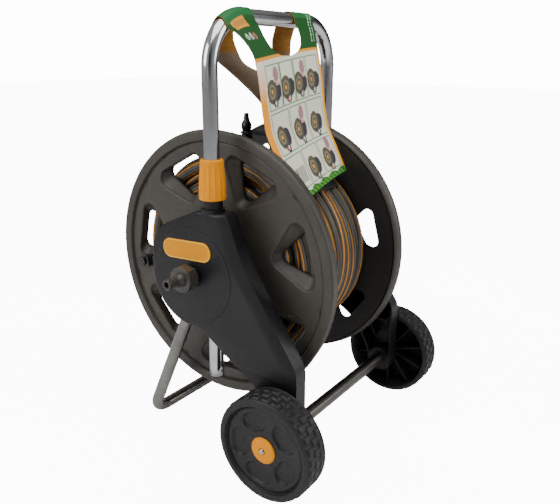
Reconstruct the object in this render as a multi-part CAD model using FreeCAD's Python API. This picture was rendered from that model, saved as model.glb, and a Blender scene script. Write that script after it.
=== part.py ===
"""Garden hose reel cart: a two-wheeled frame, a crank-driven drum and a telescopic handle.

Frame of reference while modelling: X runs along the drum axle, from the inlet side (near, -X)
to the crank side (far, +X). Y points from the wheels towards the stand, Z is up,
the floor is z = 0 and the drum axle lies at y = 0. Every piece is moved by ORIGIN_SHIFT when
it is exported, so that the origin ends at the bottom centre of the bounding box.
"""
import FreeCAD
import Part
import math
import os

Vector = FreeCAD.Vector

# ---------------------------------------------------------------- driving dimensions (mm)
# drum
DRUM_Z = 283.6             # height of the drum axle
FLANGE_R = 205.0           # outside radius of both flanges
FLANGE_FACE_X = 110.0      # drum centre to the outside of a flange's rim
FLANGE_DEPTH = 21.0        # rim depth along the axle
FLANGE_WALL = 3.0
RIM_WIDTH = 17.0           # raised band round the outside face
RIM_RAISE = 4.5            # how far the band stands over the web
RIM_DRAFT = 4.0            # the rim narrows by this much towards the hose
CHEEK_X = 88.0             # drum centre to the face that the hose bears on
CHEEK_WALL = 2.4
CORE_R = 80.0              # radius that the hose winds on
CORE_WALL = 3.0
CORE_BOSS_R = 5.0
CORE_SCREWS = 4
WINDOW_COUNT = 7
WINDOW_FIRST_DEG = 165.0   # direction of the first window, from +Y towards +Z
WINDOW_OUT_R = 158.0       # centre radius of the two outer corners, web side
WINDOW_OUT_SPREAD_DEG = 12.0
WINDOW_OUT_APEX_R = 119.0
WINDOW_OUT_CORNER_R = 16.0
WINDOW_IN_R = 162.0        # the same three for the narrow inner end of the funnel
WINDOW_IN_SPREAD_DEG = 7.6
WINDOW_IN_APEX_R = 124.0
WINDOW_IN_CORNER_R = 10.0
FUNNEL_WALL = 2.5
CLIP_DEG = -8.0            # direction of the hose clip on the near flange
CLIP_R = 158.0
CLIP_LENGTH = 24.0
CLIP_WIDTH = 20.0

# hose
HOSE_D = 17.5
HOSE_LAYERS = 4
LAYER_NESTING = 1.0125     # layer spacing over hose diameter
HOSE_END_DEG = -38.0       # direction of the hose's free end on the coil
CONNECTOR_R = 9.6
CONNECTOR_LENGTH = 32.0
CONNECTOR_BORE = 18.0         # how deep its mouth takes a nose
STRAP_DEG = 132.0          # direction of the tie across the coil
STRAP_WIDTH = 14.0
STRAP_T = 1.6

# bearings and water path on the axle
STUB_R = 12.5
STUB_BORE_R = 10.0
STUB_END_X = 158.0
BUSH_WALL = 2.0
BUSH_FLANGE = 2.0
HUB_BOSS_WALL = 2.6
STEM_R = 7.5
STEM_BORE_R = 5.0
RUN_FIT = 0.06             # radial clearance of every turning or sliding fit
STEM_END_X = 104.0
CUP_GAP = 0.5              # between the stem and the cup that turns round it
CUP_START_X = 130.0
STEM_HEAD_R = 13.5
O_RING_D = 1.5
O_RING_X = (110.0, 117.0)
SPIGOT_X = -60.0           # the hose's outlet through the core
SPIGOT_R = 7.0
SCREW_R = 2.0              # every small screw

# side frames
FRAME_OUT_X = 165.0        # drum centre to the outside face of a side frame
FRAME_DEPTH = 29.0
FRAME_WALL = 3.0
FRAME_EDGE_R = 4.5         # rounding between the outside face and the edge walls
BEVEL_DEPTH = 6.0          # fall of the sloping strip along the leading edge of the face
NECK_RING_WALL = 3.0       # ring round the foot of the post, outside the post
FRAME_HEAD_R = 81.0        # drum axle to the edge of the round head
LUG_STEP = 3.5             # the axle lug's face lies this much behind the side panel
LUG_TOP_Z = 160.0          # where the side panel ends over the lug
RIB_T = 2.4
HUB_COVER_R = 72.5
HUB_COVER_T = 2.2
HUB_COVER_PROUD = 0.6
BADGE_LENGTH = 92.0
BADGE_HEIGHT = 29.0
BADGE_T = 1.6
BADGE_Y = 8.0
BADGE_RISE = 37.4          # badge centre above the drum axle
BADGE_TILT_DEG = 3.0

# handle
HANDLE_X = 148.5           # drum centre to a leg of the handle
HANDLE_Y = -29.4
HANDLE_D = 22.0
HANDLE_WALL = 1.2
HANDLE_TOP_Z = 641.0       # centre of the grip bar, handle lowered
HANDLE_BOTTOM_Z = 127.0
HANDLE_BEND_R = 68.0
HANDLE_TRAVEL = 233.0
POST_R = 14.0
POST_TOP_Z = 440.0
NECK_Z = 381.5             # top of the side frame, where the post comes out
COLLAR_BOTTOM_Z = 398.0
COLLAR_TOP_Z = 454.0
COLLAR_BOTTOM_R = 19.0
COLLAR_TOP_R = 16.2
COLLAR_FLUTES = 14
COLLAR_GAP = 0.4           # clearance inside the collar
COLLET_WALL = 2.2
STOP_PIN_D = 4.0
STOP_PIN_PROUD = 2.0

# stand
STAND_X = 146.0
STAND_D = 19.0
STAND_WALL = 1.2
STAND_Y = 118.5            # crossbar on the floor
STAND_LEAN_DEG = 24.6
STAND_TOP_Z = 247.0
STAND_BEND_R = 34.0

# wheels and their axle
AXLE_Y = -161.0
AXLE_TUBE_R = 10.0
AXLE_TUBE_WALL = 1.2
AXLE_ROD_R = 4.0
WHEEL_R = 77.0
WHEEL_IN_X = 167.8         # drum centre to the inside face of a wheel
WHEEL_WIDTH = 43.8
WHEEL_BAND_R = 64.0        # inside radius of the raised side band
WHEEL_HUB_R = 15.0
WHEEL_DISH = 4.5           # depth of the face behind the side band
WHEEL_WALL = 5.0
WHEEL_RIBS = 10
WHEEL_POCKETS = 5
WHEEL_TREADS = 30
WHEEL_CAP_R = 19.5
LUG_R = 22.0

# crank
CRANK_R = 115.0            # drum axle to the grip's spindle
CRANK_IN_X = 174.0
CRANK_T = 12.0
CRANK_SQUARE = 17.0        # square end of the far stub that drives the arm
SPINDLE_R = 4.0
GRIP_LENGTH = 58.0
GRIP_R = 15.0

# inlet
INLET_NUT_X = 171.0
INLET_NUT_T = 19.0
INLET_NUT_FLATS = 34.0
INLET_PLUG_LENGTH = 27.0
INLET_NOSE_R = 8.2
INLET_PLUG_BASE_R = 11.0
INLET_BORE_R = 4.6

# card sleeve that hangs on the handle
CARD_T = 1.0
CARD_LEFT = -85.0
CARD_RIGHT = 81.0
CARD_HOLE_LEFT = -48.0     # hand hole between the two straps
CARD_HOLE_RIGHT = 52.0
CARD_HOLE_Z = 598.0
NOZZLE_X = -44.0           # packed spray nozzle behind the card
NOZZLE_Y = -8.0
NOZZLE_Z = 462.0

CLEAR = 0.5                # gap between pieces that move past each other

# ---------------------------------------------------------------- sizes worked out from them
WHEEL_Z = WHEEL_R
LAYER_STEP = HOSE_D * LAYER_NESTING
COIL_R = CORE_R + HOSE_D + LAYER_STEP * (HOSE_LAYERS - 1)
PLUG_TIP_X = INLET_NUT_X + INLET_NUT_T + INLET_PLUG_LENGTH
GRIP_IN_X = CRANK_IN_X + CRANK_T + 2.0
GRIP_END_X = GRIP_IN_X + GRIP_LENGTH
CUP_R = STEM_R + CUP_GAP
O_RING_FLOOR_R = CUP_R - RUN_FIT - O_RING_D
BUSH_R = STUB_R + RUN_FIT + BUSH_WALL
HUB_BOSS_R = BUSH_R + HUB_BOSS_WALL
FLANGE_WEB_X = FLANGE_FACE_X - RIM_RAISE
FRAME_IN_X = FRAME_OUT_X - FRAME_DEPTH
TUBE_R = HANDLE_D / 2
STAND_R = STAND_D / 2
WHEEL_OUT_X = WHEEL_IN_X + WHEEL_WIDTH
AXLE_END_X = WHEEL_OUT_X + 1.2
AXLE_TUBE_END_X = FRAME_OUT_X - LUG_STEP - 2 * FRAME_WALL
POST_BORE_R = TUBE_R + CLEAR
SLEEVE_BOTTOM_Z = HANDLE_BOTTOM_Z + HANDLE_TRAVEL + STOP_PIN_D + 6.0
STOP_PIN_Z = HANDLE_BOTTOM_Z + 5.0
CARD_TOP_R = TUBE_R + 0.6 + CARD_T
CARD_FRONT = ((-82.6, 415), (-61, 456), (-50.6, 474), (-45, 486), (-39, 515), (-32, 560), (-22, 605),
              (-16.5, 630))
CARD_BACK = ((19, 640), (27, 612), (23, 580), (6, 553), (-14, 522), (-31, 499), (-41.5, 485))
ORIGIN_SHIFT = Vector((PLUG_TIP_X - GRIP_END_X) / 2, (WHEEL_R - AXLE_Y - FLANGE_R) / 2, 0)


# ---------------------------------------------------------------- helpers
def polar(radius, degrees):
    """Point (y, z) at a radius and direction about the drum axle, from +Y towards +Z."""
    angle = math.radians(degrees)
    return radius * math.cos(angle), DRUM_Z + radius * math.sin(angle)


def rounded_wire(corners, x):
    """Closed wire at the plane x through (y, z, radius) corners, each rounded by an arc."""
    count = len(corners)
    arcs = []
    for i, (y, z, radius) in enumerate(corners):
        here = Vector(x, y, z)
        back = Vector(x, *corners[i - 1][:2]) - here
        ahead = Vector(x, *corners[(i + 1) % count][:2]) - here
        half = back.getAngle(ahead) / 2
        trim = radius / math.tan(half)
        start = here + back.normalize() * trim
        end = here + ahead.normalize() * trim
        middle = here + (back + ahead).normalize() * (radius / math.sin(half) - radius)
        arcs.append((start, middle, end))
    edges = []
    for i, (start, middle, end) in enumerate(arcs):
        before = arcs[i - 1][2]
        if (start - before).Length > 1e-6:
            edges.append(Part.LineSegment(before, start).toShape())
        edges.append(Part.Arc(start, middle, end).toShape())
    return Part.Wire(edges)


def prism(wire, length):
    """Solid swept along +X from a wire."""
    return Part.Face(wire).extrude(Vector(length, 0, 0))


def cyl(radius, x0, x1, y=0.0, z=DRUM_Z):
    """Cylinder along X between two stations."""
    return Part.makeCylinder(radius, x1 - x0, Vector(x0, y, z), Vector(1, 0, 0))


def upright(radius, z0, z1, x, y):
    """Cylinder along Z between two heights."""
    return Part.makeCylinder(radius, z1 - z0, Vector(x, y, z0), Vector(0, 0, 1))


def turned(profile, y=0.0, z=DRUM_Z):
    """Solid turned about the X axis through (y, z) from a closed (x, radius) profile."""
    points = [Vector(x, y + radius, z) for x, radius in profile]
    face = Part.Face(Part.makePolygon(points + [points[0]]))
    return face.revolve(Vector(0, y, z), Vector(1, 0, 0), 360)


def turned_up(profile, x, y):
    """Solid turned about the vertical axis through (x, y) from a closed (radius, z) profile."""
    points = [Vector(x + radius, y, z) for radius, z in profile]
    face = Part.Face(Part.makePolygon(points + [points[0]]))
    return face.revolve(Vector(x, y, 0), Vector(0, 0, 1), 360)


def pipe(path, radius, wall):
    """Tube of round section swept along a path of lines and tangent arcs."""
    start = path.Edges[0].valueAt(path.Edges[0].FirstParameter)
    along = path.Edges[0].tangentAt(path.Edges[0].FirstParameter)
    solids = []
    for size in (radius, radius - wall):
        ring = Part.Wire(Part.makeCircle(size, start, along))
        solids.append(path.makePipeShell([ring], True, False))
    return solids[0].cut(solids[1])


def u_path(x, y0, z0, bend, y1, z1):
    """U-shaped path: up or down both legs at +-x and across, with rounded corners."""
    near_foot, far_foot = Vector(-x, y0, z0), Vector(x, y0, z0)
    near_top, far_top = Vector(-x, y1, z1), Vector(x, y1, z1)
    leg = (near_foot - near_top).normalize()
    across = Vector(1, 0, 0)
    diagonal = (leg + across).normalize()
    sag = bend * (math.sqrt(2) - 1)
    points = [near_foot, near_top + leg * bend, near_top + diagonal * sag,
              near_top + across * bend, far_top - across * bend,
              far_top + (leg - across).normalize() * sag, far_top + leg * bend, far_foot]
    edges = [Part.LineSegment(points[0], points[1]).toShape(),
             Part.Arc(points[1], points[2], points[3]).toShape(),
             Part.LineSegment(points[3], points[4]).toShape(),
             Part.Arc(points[4], points[5], points[6]).toShape(),
             Part.LineSegment(points[6], points[7]).toShape()]
    return Part.Wire(edges)


def mirrored(shape):
    """The same piece on the far side of the cart."""
    return shape.mirror(Vector(0, 0, 0), Vector(1, 0, 0))


def round_edges(shape, radius, chosen):
    """Fillet the edges that the test `chosen` picks."""
    edges = [edge for edge in shape.Edges if chosen(edge)]
    return shape.makeFillet(radius, edges) if edges else shape


def edges_at_x(x):
    """Test for edges that lie wholly in the plane at x."""
    return lambda edge: abs(edge.BoundBox.XMin - x) < 1e-3 and abs(edge.BoundBox.XMax - x) < 1e-3


# ---------------------------------------------------------------- side frames
def frame_outline():
    """Corners (y, z, radius) of a side frame: neck, round head, leg and axle lug."""
    head = FRAME_HEAD_R
    neck = POST_R + 3.0
    axle_z = WHEEL_Z
    return [
        (HANDLE_Y - neck - 16, NECK_Z, 8),
        (HANDLE_Y + neck, NECK_Z, 10),
        (head, DRUM_Z + 58, 56),
        (head, DRUM_Z - 79, 76),
        (-12, DRUM_Z - 82, 40),
        (AXLE_Y + 50, axle_z + 61, 14),
        (AXLE_Y + LUG_R, axle_z + 8, 14),
        (AXLE_Y + LUG_R - 2, axle_z - LUG_R, 18),
        (AXLE_Y - LUG_R + 1, axle_z - LUG_R, 18),
        (AXLE_Y - LUG_R + 2, axle_z + 101, 30),
        (-88, DRUM_Z + 31, 110),
    ]


def face_outline():
    """Corners of the flat of the face, drawn in by the bevel along the leading edge."""
    inward = {0: 12.0, 9: 16.0, 10: 17.0}
    return [(y + inward.get(i, 0.0), z, radius) for i, (y, z, radius) in enumerate(frame_outline())]


def inset_corners(corners, inset):
    """The same outline, which runs clockwise seen from the outside, moved inwards."""
    moved = []
    for i, (y, z, radius) in enumerate(corners):
        here = Vector(0, y, z)
        back = (Vector(0, *corners[i - 1][:2]) - here).normalize()
        ahead = (Vector(0, *corners[(i + 1) % len(corners)][:2]) - here).normalize()
        convex = 1 if back.cross(ahead).x > 0 else -1
        reach = inset / math.sin(back.getAngle(ahead) / 2)
        shifted = here + (back + ahead).normalize() * (reach * convex)
        moved.append((shifted.y, shifted.z, radius - inset * convex))
    return moved


def frame_block(inset, steps):
    """Outside form of the near side frame, or the same form inset: its outline deepens down
    the bevel while the rounding of the edge opens it out in a few steps."""
    face_x = -FRAME_OUT_X + inset
    edge = FRAME_EDGE_R - inset
    wires = []
    for i in range(steps + 1):
        turn = math.radians(90.0 * i / steps)
        depth = edge * (1 - math.cos(turn))
        share = depth / BEVEL_DEPTH
        corners = [(top[0] + (low[0] - top[0]) * share, low[1], low[2])
                   for top, low in zip(face_outline(), frame_outline())]
        corners = inset_corners(corners, inset + edge * (1 - math.sin(turn)))
        wires.append(rounded_wire(corners, face_x + depth))
    base = rounded_wire(inset_corners(frame_outline(), inset), face_x + BEVEL_DEPTH)
    return Part.makeLoft(wires + [base], True, True).fuse(prism(base, FRAME_DEPTH - BEVEL_DEPTH))


def near_frame():
    """Moulded side shell, open towards the drum, with its sockets and bosses."""
    body = frame_block(0.0, 4).cut(lug_step(0.0))
    hollow = frame_block(FRAME_WALL, 1).cut(lug_step(FRAME_WALL))
    shell = body.cut(hollow)

    stand = stand_axis_cylinder(STAND_R + 3.0, STAND_TOP_Z + 4.0)
    inside = frame_block(FRAME_WALL / 2, 1).common(body)
    bosses = [
        cyl(HUB_BOSS_R, -FRAME_OUT_X + FRAME_WALL, -FRAME_IN_X),
        cyl(LUG_R - 2.5, -FRAME_OUT_X + FRAME_WALL, -FRAME_IN_X, AXLE_Y, WHEEL_Z),
        upright(POST_R, SLEEVE_BOTTOM_Z, POST_TOP_Z, -HANDLE_X, HANDLE_Y),
        upright(POST_R + NECK_RING_WALL, NECK_Z - 12, NECK_Z + 3.5, -HANDLE_X, HANDLE_Y),
        stand.common(inside),
    ] + [rib.common(inside) for rib in frame_ribs()]
    solid = shell.fuse(bosses)
    solid = solid.fuse(cyl(WHEEL_HUB_R, -WHEEL_IN_X + CLEAR, -FRAME_OUT_X + LUG_STEP + 1, AXLE_Y, WHEEL_Z))

    cuts = [
        cyl(BUSH_R, -FRAME_OUT_X + 2 * FRAME_WALL, -FRAME_IN_X + 1),
        cyl(STEM_R + CLEAR, -FRAME_OUT_X - 1, -FRAME_IN_X),
        cyl(HUB_COVER_R + 0.15, -FRAME_OUT_X - 1, -FRAME_OUT_X + HUB_COVER_T - HUB_COVER_PROUD),
        upright(POST_BORE_R, SLEEVE_BOTTOM_Z - 1, POST_TOP_Z + 1, -HANDLE_X, HANDLE_Y),
        upright(POST_BORE_R, HANDLE_BOTTOM_Z, SLEEVE_BOTTOM_Z, -HANDLE_X, HANDLE_Y),
        stop_pin_channel(),
        stand_axis_cylinder(STAND_R, STAND_TOP_Z),
        cyl(AXLE_TUBE_R, -AXLE_TUBE_END_X, -FRAME_IN_X + 1, AXLE_Y, WHEEL_Z),
        cyl(AXLE_ROD_R, -WHEEL_IN_X - 1, -FRAME_IN_X, AXLE_Y, WHEEL_Z),
        cyl(SCREW_R, -FRAME_OUT_X + FRAME_WALL, -FRAME_IN_X + 1, *stand_screw_yz()),
    ]
    return solid.cut(cuts).removeSplitter()


def lug_step(inset):
    """What is missing from a side panel's face below its lower end, `inset` deeper."""
    return Part.makeBox(LUG_STEP + inset + 1, 400, LUG_TOP_Z + inset,
                        Vector(-FRAME_OUT_X - 1, AXLE_Y - 100, 0))


def stop_pin_channel():
    """Clear way for the handle's cross pin below the guide sleeve."""
    half = TUBE_R + STOP_PIN_PROUD + CLEAR
    width = STOP_PIN_D + 2 * CLEAR
    return Part.makeBox(width, 2 * half, SLEEVE_BOTTOM_Z - HANDLE_BOTTOM_Z,
                        Vector(-HANDLE_X - width / 2, HANDLE_Y - half, HANDLE_BOTTOM_Z))


def frame_ribs():
    """Stiffening ribs inside the shell, along the leg and across it."""
    depth = FRAME_DEPTH - FRAME_WALL - 2.0
    start = Vector(-FRAME_OUT_X + FRAME_WALL - 0.5, 0, 0)
    ribs = []
    lines = [((-150, 118), (-96, 222)), ((-166, 150), (-118, 150)), ((-128, 226), (-64, 188)),
             ((-86, 290), (-30, 240))]
    for (y0, z0), (y1, z1) in lines:
        along = Vector(0, y1 - y0, z1 - z0)
        side = Vector(1, 0, 0).cross(along).normalize() * (RIB_T / 2)
        base = start + Vector(0, y0, z0)
        corners = [base - side, base + side, base + side + along, base - side + along]
        ribs.append(Part.Face(Part.makePolygon(corners + [corners[0]])).extrude(Vector(depth, 0, 0)))
    return ribs


def stand_direction():
    """Unit vector up a leg of the stand."""
    lean = math.radians(STAND_LEAN_DEG)
    return Vector(0, -math.sin(lean), math.cos(lean))


def stand_foot(x):
    """Where the axis of a leg meets the axis of the crossbar."""
    return Vector(x, STAND_Y, STAND_R)


def stand_axis_cylinder(radius, top_z):
    """Cylinder round the upper part of the near stand leg, up to a height."""
    up = stand_direction()
    bottom = stand_foot(-STAND_X) + up * ((DRUM_Z - 100 - STAND_R) / up.z)
    return Part.makeCylinder(radius, (top_z - bottom.z) / up.z, bottom, up)


def stand_screw_yz():
    """Where a leg's fixing screw crosses it."""
    up = stand_direction()
    point = stand_foot(0) + up * ((STAND_TOP_Z - 16 - STAND_R) / up.z)
    return point.y, point.z


def near_hub_cover():
    """Round cover let into the side frame's face."""
    outer = -FRAME_OUT_X - HUB_COVER_PROUD
    disc = cyl(HUB_COVER_R, outer, outer + HUB_COVER_T)
    disc = round_edges(disc, HUB_COVER_PROUD * 0.8, edges_at_x(outer))
    return disc.cut(cyl(STEM_R + CLEAR, outer - 1, outer + HUB_COVER_T + 1))


def far_hub_cover():
    """Round cover of the crank side, with room for the turning stub."""
    outer = -FRAME_OUT_X - HUB_COVER_PROUD
    disc = cyl(HUB_COVER_R, outer, outer + HUB_COVER_T)
    disc = round_edges(disc, HUB_COVER_PROUD * 0.8, edges_at_x(outer))
    return mirrored(disc.cut(cyl(STUB_R + CLEAR, outer - 1, outer + HUB_COVER_T + 1)))


def near_badge():
    """Blank pill-shaped plate on the hub cover."""
    r = BADGE_HEIGHT / 2
    half = BADGE_LENGTH / 2 - r
    outer = -FRAME_OUT_X - HUB_COVER_PROUD - BADGE_T
    centre = Vector(0, BADGE_Y, DRUM_Z + BADGE_RISE)
    corners = [(-half - r, -r, r - 0.01), (half + r, -r, r - 0.01),
               (half + r, r, r - 0.01), (-half - r, r, r - 0.01)]
    plate = prism(rounded_wire(corners, outer), BADGE_T)
    plate = round_edges(plate, 0.8, edges_at_x(outer))
    plate.rotate(Vector(0, 0, 0), Vector(1, 0, 0), -BADGE_TILT_DEG)
    plate.translate(centre)
    return plate


def far_frame():
    """Side shell of the crank side: the near one mirrored, bored through for the stub."""
    shell = mirrored(near_frame())
    return shell.cut(cyl(STUB_R + CLEAR, FRAME_IN_X, FRAME_OUT_X + 1))


def near_bush():
    """Flanged plain bearing pressed into the side frame's hub boss."""
    outer = -FRAME_OUT_X + 2 * FRAME_WALL
    sleeve = cyl(BUSH_R, outer, -FRAME_IN_X)
    collar = cyl(HUB_BOSS_R, -FRAME_IN_X, -FRAME_IN_X + BUSH_FLANGE)
    return sleeve.fuse(collar).cut(cyl(STUB_R + RUN_FIT, outer - 1, -FRAME_IN_X + BUSH_FLANGE + 1))


# ---------------------------------------------------------------- inlet
def inlet_stem():
    """Hollow stem from the inlet into the drum's swivel cup."""
    head = turned([(-INLET_NUT_X, 0), (-INLET_NUT_X, STEM_HEAD_R),
                   (-FRAME_OUT_X - HUB_COVER_PROUD, STEM_HEAD_R),
                   (-FRAME_OUT_X - HUB_COVER_PROUD, STEM_R), (-STEM_END_X, STEM_R), (-STEM_END_X, 0)])
    grooves = []
    for x in O_RING_X:
        ring = cyl(STEM_R + 1, -x - O_RING_D * 0.7, -x + O_RING_D * 0.7)
        grooves.append(ring.cut(cyl(O_RING_FLOOR_R, -x - O_RING_D, -x + O_RING_D)))
    return head.cut([cyl(STEM_BORE_R, -INLET_NUT_X - 1, -STEM_END_X + 1)] + grooves)


def stem_o_rings():
    """Two sealing rings on the stem."""
    rings = []
    for x in O_RING_X:
        centre = Vector(-x, 0, DRUM_Z)
        rings.append(Part.makeTorus(O_RING_FLOOR_R + O_RING_D / 2, O_RING_D / 2, centre,
                                    Vector(1, 0, 0)))
    return Part.makeCompound(rings)


def inlet_nut():
    """Hexagonal gland nut with a round face ring, screwed over the stem's head."""
    corner_r = INLET_NUT_FLATS / math.sqrt(3)
    corners = []
    for i in range(6):
        y, z = polar(corner_r, 60 * i + 12)
        corners.append((y, z, 3.0))
    hexagon = prism(rounded_wire(corners, -INLET_NUT_X - INLET_NUT_T + 3), INLET_NUT_T - 3)
    ring = cyl(corner_r * 0.97, -INLET_NUT_X - INLET_NUT_T, -INLET_NUT_X - INLET_NUT_T + 4.5)
    ring = round_edges(ring, 1.2, edges_at_x(-INLET_NUT_X - INLET_NUT_T))
    return hexagon.fuse(ring).cut(cyl(INLET_PLUG_BASE_R, -INLET_NUT_X - INLET_NUT_T - 1,
                                      -INLET_NUT_X + 1)).removeSplitter()


def inlet_plug():
    """Quick-connect plug: shoulder, groove and O-ring nose."""
    face = -INLET_NUT_X - INLET_NUT_T
    tip = -PLUG_TIP_X
    nose = INLET_NOSE_R
    body = turned([(-INLET_NUT_X, 0), (-INLET_NUT_X, INLET_PLUG_BASE_R),
                   (face - 2.5, INLET_PLUG_BASE_R), (face - 7.5, nose + 0.4), (face - 9.5, nose),
                   (face - 11.5, nose), (face - 12.0, nose - 1.9), (face - 15.2, nose - 1.9),
                   (face - 15.7, nose), (face - 17.5, nose), (face - 18.0, nose - 2.2),
                   (face - 21.0, nose - 2.2), (face - 21.5, nose - 0.2), (tip + 1.2, nose - 0.3),
                   (tip, nose - 1.4), (tip, 0)])
    return body.cut(cyl(INLET_BORE_R, tip - 1, -INLET_NUT_X + 1))


# ---------------------------------------------------------------- drum
def window_wire(x, corner_ring_r, spread_deg, apex_r, corner_r, centre_deg, grow=0.0):
    """Rounded triangular window, apex towards the axle, at the plane x."""
    round_r = corner_r + grow
    centres = [polar(corner_ring_r, centre_deg - spread_deg), polar(corner_ring_r, centre_deg + spread_deg),
               polar(apex_r, centre_deg)]
    corners = []
    for i, (y, z) in enumerate(centres):
        before = Vector(0, *centres[i - 1]) - Vector(0, y, z)
        ahead = Vector(0, *centres[(i + 1) % 3]) - Vector(0, y, z)
        half = before.getAngle(ahead) / 2
        outward = (before.normalize() + ahead.normalize()).normalize() * (-round_r / math.sin(half))
        corners.append((y + outward.y, z + outward.z, round_r))
    return rounded_wire(corners, x)


def window_angles():
    """Directions of the window centres."""
    return [WINDOW_FIRST_DEG + 360.0 / WINDOW_COUNT * i for i in range(WINDOW_COUNT)]


def funnel(centre_deg, grow, reach=0.0):
    """Tapering body of one window, from the web to the cheek, wider by `grow`."""
    wide = window_wire(-FLANGE_WEB_X - reach, WINDOW_OUT_R, WINDOW_OUT_SPREAD_DEG,
                       WINDOW_OUT_APEX_R, WINDOW_OUT_CORNER_R, centre_deg, grow)
    narrow = window_wire(-CHEEK_X - CHEEK_WALL + reach, WINDOW_IN_R, WINDOW_IN_SPREAD_DEG,
                         WINDOW_IN_APEX_R, WINDOW_IN_CORNER_R, centre_deg, grow)
    return Part.makeLoft([wide, narrow], True, True)


def flange_moulding():
    """Flange of the near side before its clip pocket: rim, web, window funnels, bearing stub."""
    face = -FLANGE_FACE_X
    web = -FLANGE_WEB_X
    back = face + FLANGE_DEPTH
    wall = FLANGE_WALL
    band = FLANGE_R - RIM_WIDTH
    shell = turned([
        (web, STUB_R), (web, band - 2.0), (face + 1.5, band), (face, band + 2.5),
        (face, FLANGE_R - 4.0), (face + 1.3, FLANGE_R - 1.2), (face + 4.0, FLANGE_R),
        (back, FLANGE_R - RIM_DRAFT), (back, FLANGE_R - RIM_DRAFT - wall),
        (face + 5.0, FLANGE_R - wall - 0.8), (face + wall, FLANGE_R - wall - 3.0),
        (face + wall, band + 3.5), (web + wall, band), (web + wall, STUB_R)])
    hub = turned([
        (-STUB_END_X, STUB_BORE_R), (-STUB_END_X, STUB_R), (-FRAME_IN_X + BUSH_FLANGE + CLEAR, STUB_R),
        (-FRAME_IN_X + BUSH_FLANGE + CLEAR, STUB_R + 6), (web, STUB_R + 10), (web + wall, STUB_R + 10),
        (web + wall, STUB_BORE_R)])
    pieces = [hub]
    holes = []
    for angle in window_angles():
        pieces.append(funnel(angle, FUNNEL_WALL))
        holes.append(funnel(angle, 0.0, 0.5))
    return shell.fuse(pieces).cut(holes).removeSplitter()


def near_flange():
    """Flange of the inlet side, with the pocket for the hose clip."""
    return flange_moulding().cut(clip_slot())


def clip_slot():
    """Pocket through the near flange's web for the hose clip."""
    slot = Part.makeBox(FLANGE_WALL + 2, CLIP_LENGTH, CLIP_WIDTH,
                        Vector(-FLANGE_WEB_X - 1, CLIP_R - CLIP_LENGTH / 2, -CLIP_WIDTH / 2))
    slot.rotate(Vector(0, 0, 0), Vector(1, 0, 0), CLIP_DEG)
    slot.translate(Vector(0, 0, DRUM_Z))
    return slot


def hose_clip():
    """Clip-in cradle that parks the free end of the hose."""
    x = -FLANGE_WEB_X
    base = Part.makeBox(FLANGE_WALL + 2, CLIP_LENGTH, CLIP_WIDTH,
                        Vector(x - 1.0, CLIP_R - CLIP_LENGTH / 2, -CLIP_WIDTH / 2))
    stem = Part.makeCylinder(6.5, 9.0, Vector(x - 9.0, CLIP_R + 3, 0), Vector(1, 0, 0))
    head = Part.makeCylinder(8.5, 3.0, Vector(x - 12.0, CLIP_R + 3, 0), Vector(1, 0, 0))
    finger = Part.makeBox(9.0, 4.0, CLIP_WIDTH - 4, Vector(x - 9.0, CLIP_R - CLIP_LENGTH / 2 + 1,
                                                           -CLIP_WIDTH / 2 + 2))
    clip = base.fuse([stem, head, finger])
    clip.rotate(Vector(0, 0, 0), Vector(1, 0, 0), CLIP_DEG)
    clip.translate(Vector(0, 0, DRUM_Z))
    return clip.removeSplitter()


def far_flange():
    """Crank-side flange: the near one mirrored, with a solid square-ended stub."""
    blank = mirrored(flange_moulding())
    end = CRANK_IN_X + CRANK_T
    core = cyl(STUB_BORE_R, FLANGE_WEB_X - FLANGE_WALL, STUB_END_X)
    extension = cyl(STUB_R, STUB_END_X, CRANK_IN_X)
    half = CRANK_SQUARE / 2
    square = Part.makeBox(end - CRANK_IN_X, CRANK_SQUARE, CRANK_SQUARE,
                          Vector(CRANK_IN_X, -half, DRUM_Z - half))
    hole = cyl(SCREW_R, end - 20, end + 1)
    return blank.fuse([core, extension, square]).cut(hole).removeSplitter()


def core_half():
    """Half of the drum's core with its cheek, seen from the near side."""
    outer = -CHEEK_X - CHEEK_WALL
    rim_r = FLANGE_R - RIM_DRAFT - FLANGE_WALL - 0.2
    cheek = cyl(rim_r, outer, -CHEEK_X)
    core = cyl(CORE_R, -CHEEK_X, 0)
    solid = cheek.fuse(core).cut(cyl(CORE_R - CORE_WALL, outer - 1, 1))
    holes = []
    for angle in window_angles():
        wire = window_wire(outer - 1, WINDOW_IN_R, WINDOW_IN_SPREAD_DEG, WINDOW_IN_APEX_R,
                           WINDOW_IN_CORNER_R, angle)
        holes.append(prism(wire, CHEEK_WALL + 2))
    bosses = []
    bores = []
    for y, z in core_screw_places():
        boss = cyl(CORE_BOSS_R, outer, 0, y, z)
        bosses.append(boss.common(cyl(CORE_R, outer, 0)))
        bores.append(cyl(SCREW_R, outer - 1, 1, y, z))
    web = cyl(CORE_R, outer, -CHEEK_X).cut(cyl(STUB_R + 12, outer - 1, -CHEEK_X + 1))
    return solid.fuse(bosses + [web]).cut(holes + bores).removeSplitter()


def core_screw_places():
    """Positions (y, z) of the long screws that clamp the drum together."""
    return [polar(CORE_R - CORE_WALL - CORE_BOSS_R + 1, 45 + 360.0 / CORE_SCREWS * i)
            for i in range(CORE_SCREWS)]


def near_core_half():
    """Core half of the inlet side, with the hole for the hose spigot."""
    y, z = SPIGOT_X, DRUM_Z
    hole = Part.makeCylinder(SPIGOT_R, CORE_R + 5, Vector(y, 0, z), Vector(0, 0, 1))
    return core_half().cut(hole)


def core_screws():
    """Long screws through both core halves."""
    screws = []
    for y, z in core_screw_places():
        outer = CHEEK_X + CHEEK_WALL
        shank = cyl(SCREW_R - 0.1, -outer, outer - 6, y, z)
        head = cyl(SCREW_R * 2, -outer - 2.4, -outer, y, z)
        screws.append(shank.fuse(head))
    return Part.makeCompound(screws)


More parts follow.
